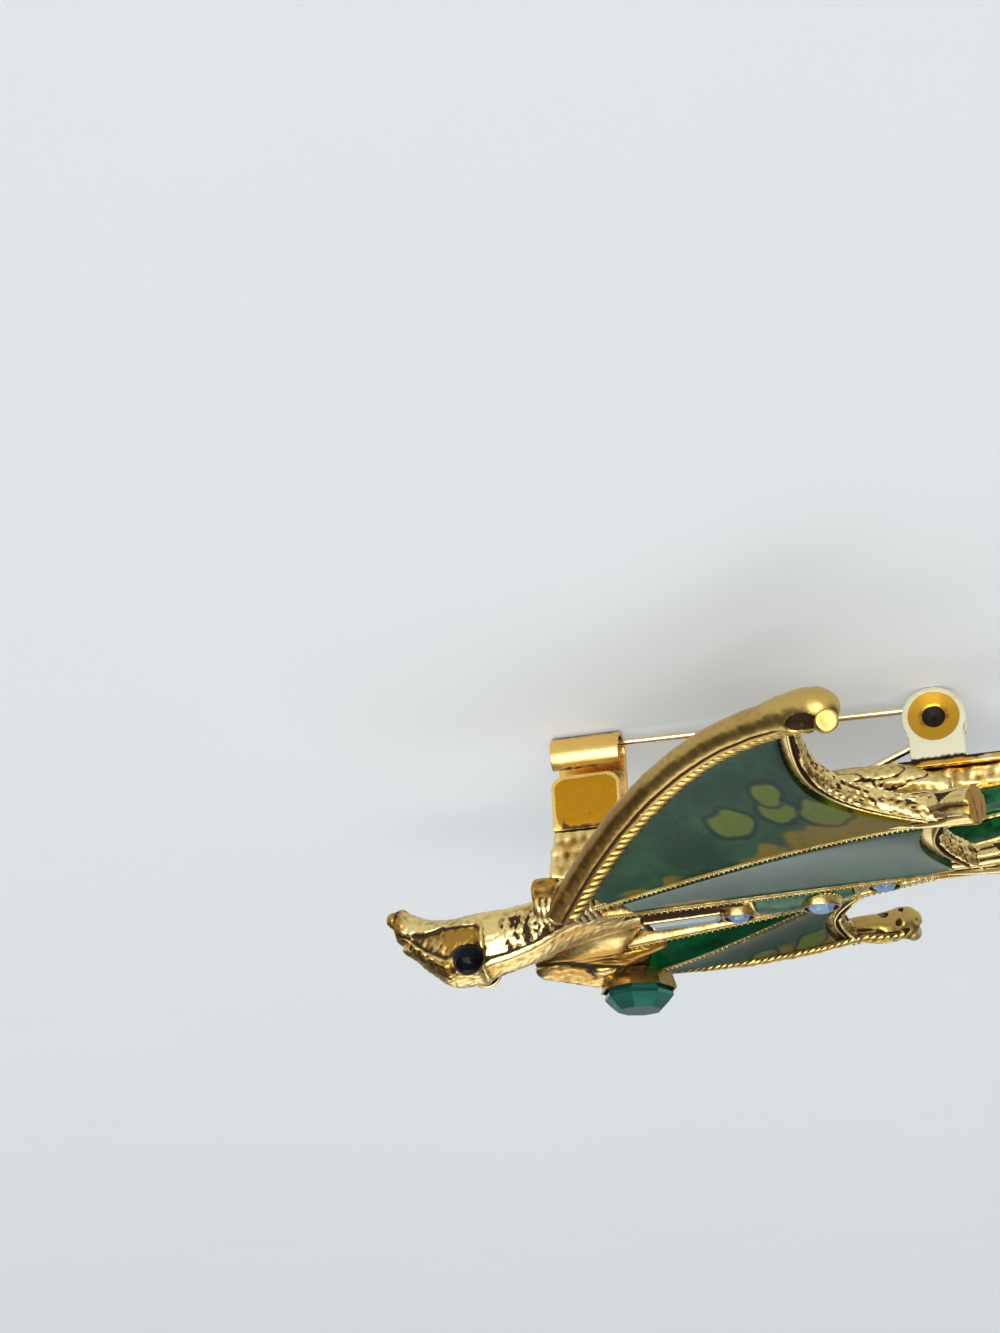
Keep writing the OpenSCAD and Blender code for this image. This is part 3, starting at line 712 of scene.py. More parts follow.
wing_cell("near_lead_enamel", NEAR_LEAD, (1.2, 1.6), (0.42, 0.95), 0.08, NEAR_LEAD_SPOTS,
          ((0.4, 1.0, 0.14, 0.75), (0.08, 0.3, 0.3, 0.1)), (0.42, 0.25, 0.04), wing_enamel)
wing_cell("near_trail_enamel", NEAR_TRAIL, (0.42, 0.9), (0.42, 0.9), 0.1, NEAR_TRAIL_SPOTS,
          ((0.12, 0.34, 0.5, 0.2),), (1.0, 0.7, 0.9), wing_enamel)
wing_cell("far_trail_enamel", FAR_TRAIL, (0.42, 0.9), (0.42, 0.9), 0.1, FAR_TRAIL_SPOTS,
          ((0.5, 0.8, 0.1, 0.3),), (0.05, 0.05, 1.0), deep_enamel)
wing_cell("far_lead_enamel", FAR_LEAD, (0.42, 1.1), (0.75, 1.1), 0.12, FAR_LEAD_SPOTS,
          ((0.4, 0.84, 0.2, 0.34),), (0.7, 0.5, 0.6), wing_enamel)

# The body from the neck to the curled tail, of the same casting: a hollow-backed trunk with cells for
# enamel, a neck with a hammered flank between two rims, fish-scale relief behind, and rings on the tail.
# Each row: the place of the body's axis, and its half width and half height
BODY = np.array([[24.5, -1, 17.0, 2.5, 2.9], [20, -1, 16.2, 2.5, 2.5], [15.8, -0.6, 14.7, 4.2, 2.4],
                 [10.3, 0, 12.7, 5.5, 3.3], [4, 0, 12.0, 5.6, 4.0], [-3, 0, 11.6, 5.2, 4.4],
                 [-10, 0, 10.8, 4.4, 3.7], [-17, 0, 10.2, 3.7, 2.9], [-23, 0.6, 9.1, 3.1, 2.5],
                 [-29, 3, 7.0, 2.5, 2.2], [-33, 7.6, 5.2, 2.1, 1.9], [-34, 13, 3.5, 1.7, 1.6],
                 [-31.6, 17.6, 2.2, 1.4, 1.25], [-28.6, 20.2, 1.3, 1.2, 0.95]])
# Enamel cells: first and last row, first and last turn in degrees, where 0 is the +Y flank and 90 the front
BODY_CELLS = {"near_back_enamel": (3, 7.6, 118, 150), "spine_enamel": (4.42, 5.5, 64, 114),
              "near_flank_enamel": (6.6, 8.8, 160, 200), "far_flank_enamel": (6.6, 8.8, -20, 20)}
# About how many millimetres one row and one degree of turn are, how soft a cell's edge is, how far the cell
# is cut past its enamel, and the width and height of the gold wall round it
ROW_MM = 6.5
DEGREE_MM = 0.085
CELL_SOFT = 0.12
CELL_ROOM = 0.04
CELL_WALL_W = 0.42
CELL_WALL_H = 0.16
# By rows, where each kind of relief starts, is full, fades and ends, where the neck ends and the tail starts
NECK_END = (2.2, 2.7)
TAIL_START = (8.9, 9.3)
SCALED = (2.9, 3.4, *TAIL_START)
MOTTLED = (0.6, 0.75, 1.5, 1.65)
RIBBED = (1.35, 1.5, 2.05, 2.2)
CHEST = (2.5, 2.8, 4.2, 4.4)
SCALE_SIZE = 0.95
SCALE_H = 0.17
NECK_RIM_H = 0.16
NECK_RIB_PITCH = 1.1
NECK_RIB_H = 0.09
HAMMER_H = 0.085
SEAM_H = 0.12
TAIL_RING_PITCH = 2.3
# The hollow behind: the x and z of its axis and its radius, at its two ends
HOLLOW = ((-5.0, 7.4, 2.2), (6.2, 8.4, 2.6))


def row_at(rows, u):
    """Smooth values of a table between its rows."""
    u = np.asarray(u, float)
    last = len(rows) - 1
    i = np.clip(np.floor(u).astype(int), 0, last - 1)
    f = (u - i)[..., None]
    a, b, c, d = rows[np.maximum(i - 1, 0)], rows[i], rows[i + 1], rows[np.minimum(i + 2, last)]
    return 0.5 * (2 * b + (c - a) * f + (2 * a - 5 * b + 4 * c - d) * f ** 2
                  + (3 * b - a - 3 * c + d) * f ** 3)


def skin(rows, u, turn, off=0.0):
    """Points on a table's body at rows u and turns in degrees, off outwards."""
    u, turn = np.broadcast_arrays(u, turn)
    r = row_at(rows, u)
    d = row_at(rows, u + 0.05) - row_at(rows, u - 0.05)
    left = unit(np.stack([-d[..., 1], d[..., 0], 0 * d[..., 0]], -1))
    a = np.radians(turn)
    flat = -((r[..., 3] + off) * np.cos(a))[..., None] * left
    high = r[..., 2] + (r[..., 4] + off) * np.sin(a)
    return np.stack([r[..., 0], r[..., 1], high], -1) + flat


def scales(u, v, size):
    """Height of overlapping fish scales over two coordinates in millimetres."""
    height = np.zeros(u.shape)
    for shift in (0, 1):
        row = np.floor(u / size / 2 + shift / 2)
        a = u - (row - shift / 2 + 0.5) * 2 * size
        b = (v / size + 0.5 * shift) % 1 - 0.5
        inside = 1 - (a / size / 1.15) ** 2 - (b / 0.58) ** 2
        height = np.maximum(height, np.sqrt(np.clip(inside, 0, 1)) * (0.6 + 0.4 * a / size))
    return height


def inside_cell(u, turn, cell, grow):
    """1 inside a cell grown on each side by millimetres, 0 outside."""
    inside = 1.0
    for value, low, high, unit_mm in ((u, *cell[:2], ROW_MM), (turn, *cell[2:], DEGREE_MM)):
        low, high, soft = low - grow / unit_mm, high + grow / unit_mm, CELL_SOFT / unit_mm
        inside = inside * span(value, low - soft, low + soft, high - soft, high + soft)
    return inside


def trunk():
    """Body from the neck to the tail's end, with its relief, soil and tone, carved out behind."""
    u = np.concatenate([np.linspace(0, 9, 450), np.linspace(9.02, 13, 160)])[:, None]
    turn = np.linspace(-90, 270, 132, endpoint=False)[None, :]
    u, turn = np.broadcast_arrays(u, turn)
    plain = skin(BODY, u, turn)
    row = row_at(BODY, u)
    aside = np.abs(turn - 90)
    arc = np.radians(turn - 90) * (row[..., 3] + row[..., 4]) / 2
    run = np.concatenate([[0], np.cumsum(np.linalg.norm(np.diff(row[:, 0, :3], axis=0), axis=1))])[:, None]
    wall, sunk = (np.maximum.reduce([inside_cell(u, turn, cell, grow) for cell in BODY_CELLS.values()])
                  for grow in (CELL_WALL_W, CELL_ROOM))
    lift = CELL_WALL_H * wall
    # Scales on the body's sides, outside the cells' walls
    scaled = span(u, *SCALED) * (lift < 0.02) * span(aside, 60, 66, 150, 165)
    lift = lift + SCALE_H * scales(run + 0 * turn, arc, SCALE_SIZE) * scaled
    # The neck: two smooth rims, a hammered flank between them with a few ribs behind, and a seam at the head
    neck = 1 - step(*NECK_END, u)
    rims = peak(aside, 42, 7) + peak(aside, 140, 8)
    flank = np.exp(-((aside - 90) / 34) ** 4)
    hammered = noise(plain * (1, 1, 0.5), 1.0, 3) + 0.6 * noise(plain, 0.55, 6)
    calm = 1 - 0.75 * peak(u, 0.45, 0.22)
    ribbed = span(u, *RIBBED) * flank
    ribs = np.sin(run * 2 * pi / NECK_RIB_PITCH)
    lift = lift + neck * (NECK_RIM_H * rims + flank * (HAMMER_H * hammered * calm - 0.12))
    lift = lift + NECK_RIB_H * ribbed * ribs + SEAM_H * peak(u, 0.3, 0.035) * step(-10, 30, 90 - aside)
    soil = neck * (0.7 * peak(aside, 53, 4) + 0.85 * flank * span(u, *MOTTLED) * step(-0.1, 0.8, -hammered)
                   + 0.35 * ribbed * (ribs < -0.3) - 0.25 * rims)
    tone = neck * flank * (0.45 * step(0.3, 1.2, -hammered) + 0.5 * ribbed + 0.7 * step(1.95, 2.1, u)
                           - 0.7 * peak(u, 0.45, 0.2))
    # Brown beside the stone on the chest, and rings on the tail, brown between them
    soil = soil + 0.9 * span(aside, 14, 18, 24, 27) * span(u, *CHEST)
    tail = step(*TAIL_START, u)
    ring = np.abs(np.sin(run * 2 * pi / TAIL_RING_PITCH))
    lift = lift + tail * (0.13 * ring ** 0.6 - 0.06)
    soil = soil + 0.4 * tail * (ring < 0.25)
    lift = lift + 0.018 * noise(plain, 0.7, 4) - (ENAMEL_T + GAP + CELL_WALL_H) * sunk
    points = skin(BODY, u, turn, lift)
    x, y, z = np.moveaxis(points, -1, 0)
    axis_x = np.clip(x, HOLLOW[0][0], HOLLOW[1][0])
    share = (axis_x - HOLLOW[0][0]) / (HOLLOW[1][0] - HOLLOW[0][0])
    axis_z, radius = (mix(a, b, share) for a, b in zip(HOLLOW[0][1:], HOLLOW[1][1:]))
    reach = radius ** 2 - (x - axis_x) ** 2 - y ** 2
    roof = axis_z + np.sqrt(np.clip(reach, 0, None))
    below = (z < roof) & (reach > 0) & (z < row[..., 2])
    points[..., 2] = np.where(below, roof, z)
    return *rings(points), {"soil": soil.ravel(), "tone": tone.ravel()}


cast("trunk_and_tail", [trunk()], sharp=60)

# The enamel of the trunk: four cells of the same green, darker because they are deeper, with wandering
# dark veins, filled flush with the gold lines round them.
body_enamel = enamel_finish("body_enamel", deep=(0.0, 0.035, 0.008), mid=(0.001, 0.085, 0.018),
                            bloom=(0.1, 0.14, 0.01), olive=(0.002, 0.12, 0.028), cloudiness=1.2)
for node, (row0, row1, turn0, turn1) in BODY_CELLS.items():
    cell_u = np.linspace(row0, row1, 120)[:, None]
    cell_turn = np.linspace(turn0, turn1, 32)[None, :]
    bow = 0.05 * np.sin(pi * (cell_turn - turn0) / (turn1 - turn0)) + 0 * cell_u
    top = skin(BODY, cell_u, cell_turn, bow)
    low = skin(BODY, cell_u, cell_turn, -ENAMEL_T)
    wander = np.abs(noise(top, 2.6, 21) + 0.5 * noise(top, 1.1, 22))
    enamel_skin(node, top, low, body_enamel, "dark_enamel", vein=peak(wander, 0, 0.16), bloom=0.0,
                spot=step(0.5, 1.2, wander), thick=0.0, gloss=0.35)

# The shoulders, folded legs, pads and the leaf at the tail's end, modelled in wax with the body and cast
# with it: rounded lumps that run into each other, worn smooth on top and brown between.


def lump(*balls):
    """Hull round balls, each given as a place and a radius."""
    bm = bmesh.new()
    for at, radius in balls:
        bmesh.ops.create_icosphere(bm, subdivisions=3, radius=radius, matrix=Matrix.Translation(at))
    hull = bmesh.ops.convex_hull(bm, input=bm.verts)
    bmesh.ops.delete(bm, geom=hull["geom_interior"] + hull["geom_unused"], context="VERTS")
    return taken(bm)


def melt(parts, voxel, smoothing):
    """One even skin over solids that run into each other: its points, normals and faces."""
    wax = bpy.data.objects.new("wax", joined("wax", parts))
    bpy.context.scene.collection.objects.link(wax)
    remesh = wax.modifiers.new("skin", "REMESH")
    remesh.mode = "VOXEL"
    remesh.voxel_size = voxel
    calm = wax.modifiers.new("calm", "SMOOTH")
    calm.iterations = smoothing
    bpy.context.view_layer.update()
    done = bpy.data.meshes.new_from_object(wax.evaluated_get(bpy.context.evaluated_depsgraph_get()))
    bpy.data.objects.remove(wax)
    points, normals = read_points(done)
    faces = [list(f.vertices) for f in done.polygons]
    bpy.data.meshes.remove(done)
    return points, normals, faces


def modelled(name, points, normals, faces, grain, sharp=80, **marks):
    """Cast piece from a melted skin, with its grain as heights along the normals."""
    cast(name, [(points + normals * grain[:, None], faces, marks)], sharp=sharp)


SHOULDERS = [lump(((16.6, -8.4, 14.9), 1.3), ((16.6, -8.2, 16.2), 1.2), ((12.4, -6.4, 14.8), 1.5),
                  ((13, -2.5, 14.6), 2)),
             lump(((20.4, 6, 17.4), 1.1), ((16, 8.6, 17.6), 1.5), ((13.5, 3, 14.6), 2.2)),
             lump(((16, 8.6, 17.6), 1.5), ((13, 9, 17.4), 1.6)),
             lump(((15.6, 6, 17.6), 1.1), ((10.2, 4.4, 16.4), 0.8))]
# The flat faces of the near shoulder: its greatest x, and its least y and z
SQUARE_X, SQUARE_Y, SQUARE_Z = 17.55, -9.3, 14.05
points, normals, faces = melt(SHOULDERS, voxel=0.14, smoothing=5)
x, y, z = points.T
squared = np.stack([np.minimum(x, SQUARE_X), np.maximum(y, SQUARE_Y), np.maximum(z, SQUARE_Z)], 1)
points = np.where(points[:, 1:2] < -6, squared, points)
x, y, z = points.T
near_side, far_side = step(-4, -6, y), step(3, 4, y)
# The near one ends in a smooth brown face, with black pits beside it and fine ribs in front
front = step(15.5, 15.8, z) * near_side
end_face = step(15.3, 15.6, x) * near_side * (1 - front)
pits = step(0.2, 0.9, noise(points, 0.7, 34)) * near_side * (1 - front) * (1 - end_face)
ribs = front * np.sin(x * 2 * pi / 0.5 + 0.5 * noise(points, 1.5, 31))
# The far one has a smooth bright lobe in front, parted from the silky chest by a dark groove
slope = z + 0.12 * (x - 17)
groove = peak(slope, 17.9, 0.15) * far_side * step(12.5, 13.5, x)
lobe = step(18.0, 18.2, slope) * far_side
silk = noise(points * (0.25, 1, 1), 0.8, 32)
crease = peak(noise(points * (0.3, 1, 1), 2.2, 31), 0, 0.1) * far_side * (1 - lobe)
point_end = far_side * (1 - step(11.5, 13.5, x))
worn = noise(points, 0.9, 38)
grain = (0.02 * silk * (1 - lobe) + 0.025 * worn * lobe + 0.045 * ribs
         - 0.05 * crease - 0.17 * groove - 0.2 * pits)
soil = (0.35 * crease + 0.95 * groove + 0.9 * pits + 0.35 * (ribs < -0.4) + 0.35 * end_face
        + 0.15 * far_side * silk + 0.4 * lobe * step(0.2, 1.0, worn))
tone = 0.75 * end_face + 0.4 * far_side * (1 - lobe) + 0.5 * point_end + 0.1 * lobe
modelled("shoulders", points, normals, faces, grain, soil=soil, tone=tone)

LEGS = [lump(*pair) for side in (-1, 1) for pair in (
    (((-5.6, side * 4.6, 8.7), 2.1), ((-11, side * 5, 8.2), 1.5)),
    (((-11, side * 5, 8.2), 1.5), ((-15, side * 5.3, 9.2), 0.8)))]
KNUCKLE_X, KNUCKLE_Z = -10.2, 8.8
points, normals, faces = melt(LEGS, voxel=0.14, smoothing=5)
knuckle = peak(points[:, 0], KNUCKLE_X, 1.1) * peak(points[:, 2], KNUCKLE_Z, 1.0)
pits = step(0.1, 0.9, noise(points, 0.6, 36)) * knuckle
crease = peak(noise(points * (0.4, 1, 1), 1.6, 33), 0, 0.18)
grain = 0.03 * noise(points, 0.6, 34) - 0.09 * crease - 0.12 * pits
modelled("folded_hind_legs", points, normals, faces, grain, soil=0.5 * crease + pits - 0.1)

LEAF_AT = np.array((-28.6, 20.2, 0))
LEAF_TURN = radians(45)
# Each ball of the leaf: its place from the tail's end, along the leaf, across it and up, and its radius
LEAF = (((7.4, 0, 0.5), 0.5), ((1.2, 2.7, 0.55), 0.55), ((1.2, -2.7, 0.55), 0.55), ((0.2, 0, 0.95), 0.95))
VEIN_PITCH = 1.1
VEIN_W = 0.22
SIDE_VEIN_W = 0.02 ** 0.5
leaf_turn = np.array([[cos(LEAF_TURN), sin(LEAF_TURN), 0], [-sin(LEAF_TURN), cos(LEAF_TURN), 0], [0, 0, 1]])
leaf = lump(*((tuple(LEAF_AT + np.array(at) @ leaf_turn), radius) for at, radius in LEAF))
points, normals, faces = melt([leaf], voxel=0.13, smoothing=3)
along, aside = ((points - LEAF_AT) @ leaf_turn.T).T[:2]
side_vein = (np.abs(aside) - 0.35 * (along - 1)) % VEIN_PITCH
vein = peak(aside, 0, VEIN_W) + 0.6 * peak(side_vein, VEIN_PITCH / 2, SIDE_VEIN_W)
modelled("tail_leaf", points, normals, faces, -0.09 * vein * (normals[:, 2] > 0.3))

# Each pad: the corners of a flat lump under one of the findings
PADS = [lump(*((corner, 0.15) for corner in corners)) for corners in (
    [(x, y, z) for x in (-20.35, -12.25) for y in (-3.25, -0.75) for z in (7.15, 8.45)],
    [(x, y, 8.75) for x in (11.3, 16.8) for y in (-3.45, -0.55)]
    + [(x, y, 12.65) for x in (11.0, 17.3) for y in (-3.85, 0.45)])]
points, normals, faces = melt(PADS, voxel=0.16, smoothing=2)
modelled("solder_pads", points, normals, faces, 0.06 * noise(points, 1.1, 35))

# The head: a long wedge with a flared nose. A rim runs round it along the throat and the crown, and between
# them the cheek is sunk, crossed by a rough brow ridge from the nose to the eye. It is cast with the neck.
HEAD = np.array([[31.4, -1, 14.5, 1.3, 1.3], [30.8, -1, 14.7, 1.6, 1.6], [29.8, -1, 15.6, 1.7, 1.9],
                 [28.4, -1, 16.5, 2.1, 2.3], [26.6, -1, 17.2, 2.7, 2.8], [24.6, -1, 17.1, 3.1, 2.9],
                 [23.3, -1, 17.0, 2.8, 2.9]])
HEAD_Y = -1
# Along the head, by x: the cheek's lower and upper edge and the brow ridge, as shares of the half height
CHEEK_X = (23.7, 26.9, 29.4, 30.4)
CHEEK = ((-0.5, -0.64, -0.15, 0.3), (0.3, 0.42, 0.34, 0.45), (0.3, 0.55, 0.52, 0.75))
head_u = np.linspace(0, 6, 70)[:, None]
head_parts = [rings(skin(HEAD, head_u, np.linspace(0, 360, 72, endpoint=False)[None, :]))]
for side in (-1, 1):
    brow_end = ((26.2, HEAD_Y + side * 1.9, 18.9), 0.7)
    head_parts += [lump(((30.2, HEAD_Y + side * 0.8, 16.7), 0.5), brow_end),
                   lump(brow_end, ((24.2, HEAD_Y + side * 1.4, 19), 0.8)),
                   lump(((31.45, HEAD_Y + side * 0.72, 14.1), 0.7))]
points, normals, faces = melt(head_parts, voxel=0.1, smoothing=4)
# It narrows where it meets the neck
narrow = 1 - 0.09 * step(24.2, 23.4, points[:, 0])[:, None]
points[:, 1:] = (points[:, 1:] - (HEAD_Y, 17)) * narrow + (HEAD_Y, 17)
x, y, z = points.T
mid, half_height = (np.interp(x, HEAD[::-1, 0], HEAD[::-1, c]) for c in (2, 4))
high = (z - mid) / half_height
flank = step(0.9, 1.6, np.abs(y - HEAD_Y))
lower, upper, ridge = (np.interp(x, CHEEK_X, row) for row in CHEEK)
cheek = span(x, 23.4, 23.9, 29.2, 30.4) * flank
cheek = cheek * span(high, lower - 0.05, lower + 0.14, upper - 0.12, upper + 0.06)
brow = peak(high, ridge, 0.13) * span(x, 25.6, 26.2, 30.2, 30.8) * flank
gutter = peak(high, ridge + 0.27, 0.12) * span(x, 25.2, 26, 28.6, 29.6) * flank
mouth = peak(z + 0.35 * (x - 30.4), 15.75, 0.13) * step(29.7, 30.1, x) * flank
line = peak(high, lower + 0.04, 0.06) * span(x, 23.6, 24, 29.3, 30) * flank
forehead = span(high, upper, upper + 0.1, 0.72, 0.85) * span(x, 25.4, 26.4, 30.6, 31.2) * flank
nose = step(30.3, 30.9, x)
# Orange: painted shade low on the sunk cheek, towards the neck
orange = cheek * (1 - step(26.1, 26.7, x)) * (1 - step(-0.1, 0.15, high))
beads = noise(points, 0.75, 43)
press = 0.42 * cheek + 0.22 * gutter - brow * (0.08 + 0.09 * beads) + 0.25 * mouth
grain = 0.03 * noise(points, 0.9, 41) + 0.02 * noise(points, 0.45, 42)
points[:, 1] -= np.sign(y - HEAD_Y) * press
# The soil and tone on the sunk cheek are painted shade in its hollow; the other marks here are toning and
# dirt
soil = (0.4 * cheek * (1 - orange) + 0.6 * line + 0.5 * gutter + 0.7 * mouth + 0.5 * nose
        + forehead * (0.35 - 0.4 * beads) - 0.12)
tone = 0.35 * cheek + 0.6 * orange + 0.3 * gutter + 0.4 * nose + 0.45 * forehead - 0.1
modelled("head", points, normals, faces, grain, soil=soil, tone=tone)

# The eyes: round domes of black glass, glued in ringed sockets at the sides of the head.
EYE_R = 1.25
# Where an eye is: its x and z, and how far out it is from the head's middle
EYE_X, EYE_Z = 24.5, 18.4
EYE_OUT = 2.4
INNER_BULGE = 0.8
# The ring round it: its radius, its wire's radius, how far out it lies, and its steps round and across
SOCKET_R = 1.27
SOCKET_WIRE_R = 0.12
SOCKET_OUT = 0.12
SOCKET_STEPS = (60, 12)
eye_glass, shader, field = finish_of("black_eye_glass", IOR=1.5, Specular_IOR_Level=0.06, Coat_Weight=0.06,
                                     Coat_Roughness=0.02)
smoke = field.noise(0.9, 2.0)
join(shader, "Base Color", smoke.tint((0.001, 0.0015, 0.002), (0.005, 0.006, 0.008)))
join(shader, "Roughness", 0.05 + smoke * 0.08)
for name, side in (("eye_near", -1), ("eye_far", 1)):
    at = np.array((EYE_X, HEAD_Y + side * EYE_OUT, EYE_Z))
    dome, faces = ball(40)
    dome = dome * EYE_R
    dome[:, 1] = np.where(dome[:, 1] * side > 0, dome[:, 1], dome[:, 1] * INNER_BULGE)
    solid(name + "_glass", [(at + dome, faces)], eye_glass, "eye_glass", [name])
    n, m = SOCKET_STEPS
    outward = np.stack([np.cos(turns(n)), 0 * turns(n), np.sin(turns(n))], 1)
    ring_path = at + SOCKET_R * outward + (0, side * SOCKET_OUT, 0)
    hoop = tube(ring_path, outward, (0, 1, 0), SOCKET_WIRE_R, m)
    hoop_faces = [[j * m + i, j * m + (i + 1) % m, (j + 1) % n * m + (i + 1) % m, (j + 1) % n * m + i]
                  for j in range(n) for i in range(m)]
    cast(name + "_socket_ring", [(hoop.reshape(-1, 3), hoop_faces, {"soil": 0.4 - 0.5 * side})])

# The stones on the spine and the shoulder: round iridescent crystals, a clear step-cut bar and an octagonal
# green stone, each of cut glass in a gold collet, glued.
# Each crystal: its x and its radius
CRYSTALS = ((2.75, 1.1), (-3.9, 1.3), (-9, 1.15), (-13.6, 1), (-17.8, 0.85))
GIRDLE_H = 0.4
BAGUETTE_AT = np.array((7.2, 0, 16.1))
BAGUETTE_HALF = 3.0
GREEN_AT = np.array((13.3, 9.4, 19))
GREEN_R = 3.0


def glass(name, dark, light, metal, through):
    """Cut glass over foil: each facet returns its own shade, a painted reflection."""
    material, shader, field = finish_of(name, 0.04, IOR=1.56, Transmission_Weight=through)
    facet_glint = field.stored("facet_glint")
    join(shader, "Base Color", facet_glint.tint(dark, light))
    join(shader, "Metallic", facet_glint * metal)
    join(shader, "Roughness", 0.03 + field.noise(1.2) * 0.04)
    return material


iris_glass = glass("iris_crystal", (0.05, 0.2, 0.55), (0.6, 0.82, 0.98), 0.8, 0.1)
clear_glass = glass("clear_baguette", (0.25, 0.36, 0.38), (0.95, 0.98, 0.98), 0.85, 0.1)
green_glass = glass("green_octagon", (0.004, 0.05, 0.035), (0.03, 0.28, 0.2), 0.15, 0.35)
setting_gold = antique_gold("setting_gold", (0.72, 0.50, 0.18), (0.38, 0.23, 0.06), PATINA, dirt=0.12)


def cut_stone(node, points, faces, material, slot, seed):
    """Faceted stone whose facets each keep a random shade, a painted reflection."""
    mesh = solid(node + "_cut", [(points, faces)], material, slot, [node], sharp=5).data
    bm = bmesh.new()
    bm.from_mesh(mesh)
    bmesh.ops.split_edges(bm, edges=bm.edges)
    bmesh.ops.triangulate(bm, faces=[f for f in bm.faces if len(f.verts) > 4])
    bm.to_mesh(mesh)
    bm.free()
    rng = np.random.default_rng(seed)
    painted_glints = {}
    values = np.zeros(len(mesh.vertices), np.float32)
    for face in mesh.polygons:
        facing = tuple(round(c, 2) for c in face.normal)
        if facing not in painted_glints:
            painted_glints[facing] = rng.uniform(0, 1)
        values[list(face.vertices)] = painted_glints[facing]
    mesh.attributes.new("facet_glint", "FLOAT", "POINT").data.foreach_set("value", values)


def turned(profile, sides, offset=0.0):
    """Rings of a lathe profile of (radius, height) pairs."""
    a = turns(sides) + offset
    return np.stack([np.stack([r * np.cos(a), r * np.sin(a), 0 * a + h], -1) for r, h in profile])


def brilliant(r, height):
    """Round stone with eight main facets, two rows of small ones, and a table."""
    girdle = turned([(r, 0), (r, GIRDLE_H)], 16)
    middle = turned([(0.82 * r, GIRDLE_H + 0.55 * height)], 8, pi / 16)
    table = turned([(0.52 * r, GIRDLE_H + height)], 8, pi / 8 + pi / 16)
    points = np.concatenate([part.reshape(-1, 3) for part in (girdle, middle, table)])
    faces = [[k, (k + 1) % 16, 16 + (k + 1) % 16, 16 + k] for k in range(16)]
    faces += [list(range(16))[::-1], [40 + k for k in range(8)]]
    for k in range(8):
        g, n = 16 + 2 * k, 16 + (2 * k + 1) % 16
        after, before = 32 + (k + 1) % 8, 40 + (k - 1) % 8
        faces += [[g, n, 32 + k], [n, 16 + (2 * k + 2) % 16, after], [n, after, 32 + k],
                  [32 + k, after, 40 + k], [32 + k, 40 + k, before]]
    return points, faces


def spine_z(x):
    """Height of the body's front line where it passes x."""
    rows = row_at(BODY, np.linspace(1, 9, 2000))
    k = np.argmax(rows[:, 0] <= x)
    return rows[k, 2] + rows[k, 4]


collets = []
for k, (x, r) in enumerate(CRYSTALS):
    seat = np.array((x, 0, spine_z(x) - 0.4))
    points, faces = brilliant(r, 0.56 * r)
    cut_stone(f"crystal_{k + 1}", seat + (0, 0, GAP) + points, faces, iris_glass, "iris_stone", 60 + k)
    wall = [(0.3, -0.8), (r + 0.3, -0.8), (r + 0.3, 0.72), (r + 0.24, 0.86), (r + 0.1, 0.86),
            (r + 0.03, 0.7), (r + 0.03, 0.02), (0.3, 0.0)]
    collets.append(rings(seat + turned(wall, 48)))
    a = np.linspace(0, 2 * pi, 90)
    loop = seat + np.stack([(r + 0.32) * np.cos(a), (r + 0.32) * np.sin(a), 0 * a + 0.05], 1)
    collets.append(studs(loop, across(loop), 0.38, (0.17, 0.15, 0.17), 0, 70 + k))

# The bar lies 2 degrees higher towards the head
tilt = np.array(Matrix.Rotation(radians(-2), 3, "Y")).T


def bar_rings(levels):
    """Step-cut bar. Each level: what it adds to the half length, its half width, cut corner and height."""
    out = []
    for more, width, corner, height in levels:
        length = BAGUETTE_HALF + more
        half = [(length, width - corner), (length - corner, width)]
        half += [(-x, y) for x, y in half[::-1]]
        out.append([(x, y, height) for x, y in half] + [(-x, -y, height) for x, y in half])
    return rings(np.array(out))


points, faces = bar_rings([(0, 0.9, 0.12, -0.65), (0, 0.9, 0.12, 0.05), (-0.25, 0.68, 0.1, 0.32),
                           (-0.5, 0.46, 0.08, 0.5)])
cut_stone("baguette", BAGUETTE_AT + points @ tilt, faces, clear_glass, "clear_stone", 81)
points, faces = bar_rings([(0.45, 1.4, 0.3, -2.3), (0.45, 1.4, 0.3, 0.1), (0.38, 1.33, 0.3, 0.28),
                           (0.12, 1.05, 0.2, 0.28), (0.05, 0.96, 0.1, 0.1), (0.05, 0.96, 0.1, -0.68)])
CRADLE_SOIL = (0.6, 0.9, 0.4, 0.8, 1.3, 1.3)
collets.append((BAGUETTE_AT + points @ tilt, faces, {"soil": np.repeat(CRADLE_SOIL, 8)}))

points, faces = rings(turned([(GREEN_R - 0.5, 0), (GREEN_R, 0.7), (GREEN_R, 1.0), (GREEN_R - 0.45, 1.5),
                              (GREEN_R - 1.1, 2.1)], 8))
cut_stone("green_stone", GREEN_AT + (0, 0, GAP) + points, faces, green_glass, "green_glass", 82)
points, faces = rings(turned([(GREEN_R - 0.1, -1.1), (GREEN_R + 0.24, 0.0), (GREEN_R + 0.34, 0.4),
                              (GREEN_R + 0.12, 0.42), (GREEN_R + 0.04, 0.3), (GREEN_R - 0.1, 0.02),
                              (1.2, 0.0)], 8))
collets.append((GREEN_AT + points, faces))
cast("collets", collets, setting_gold, sharp=35)

# The hinge: a plate soldered to the back with two round ears, pressed from brass sheet and dished inwards
# round a hole, so that their noses carry the coil of the pin. It is bright plated.
HOLE_R = 0.3


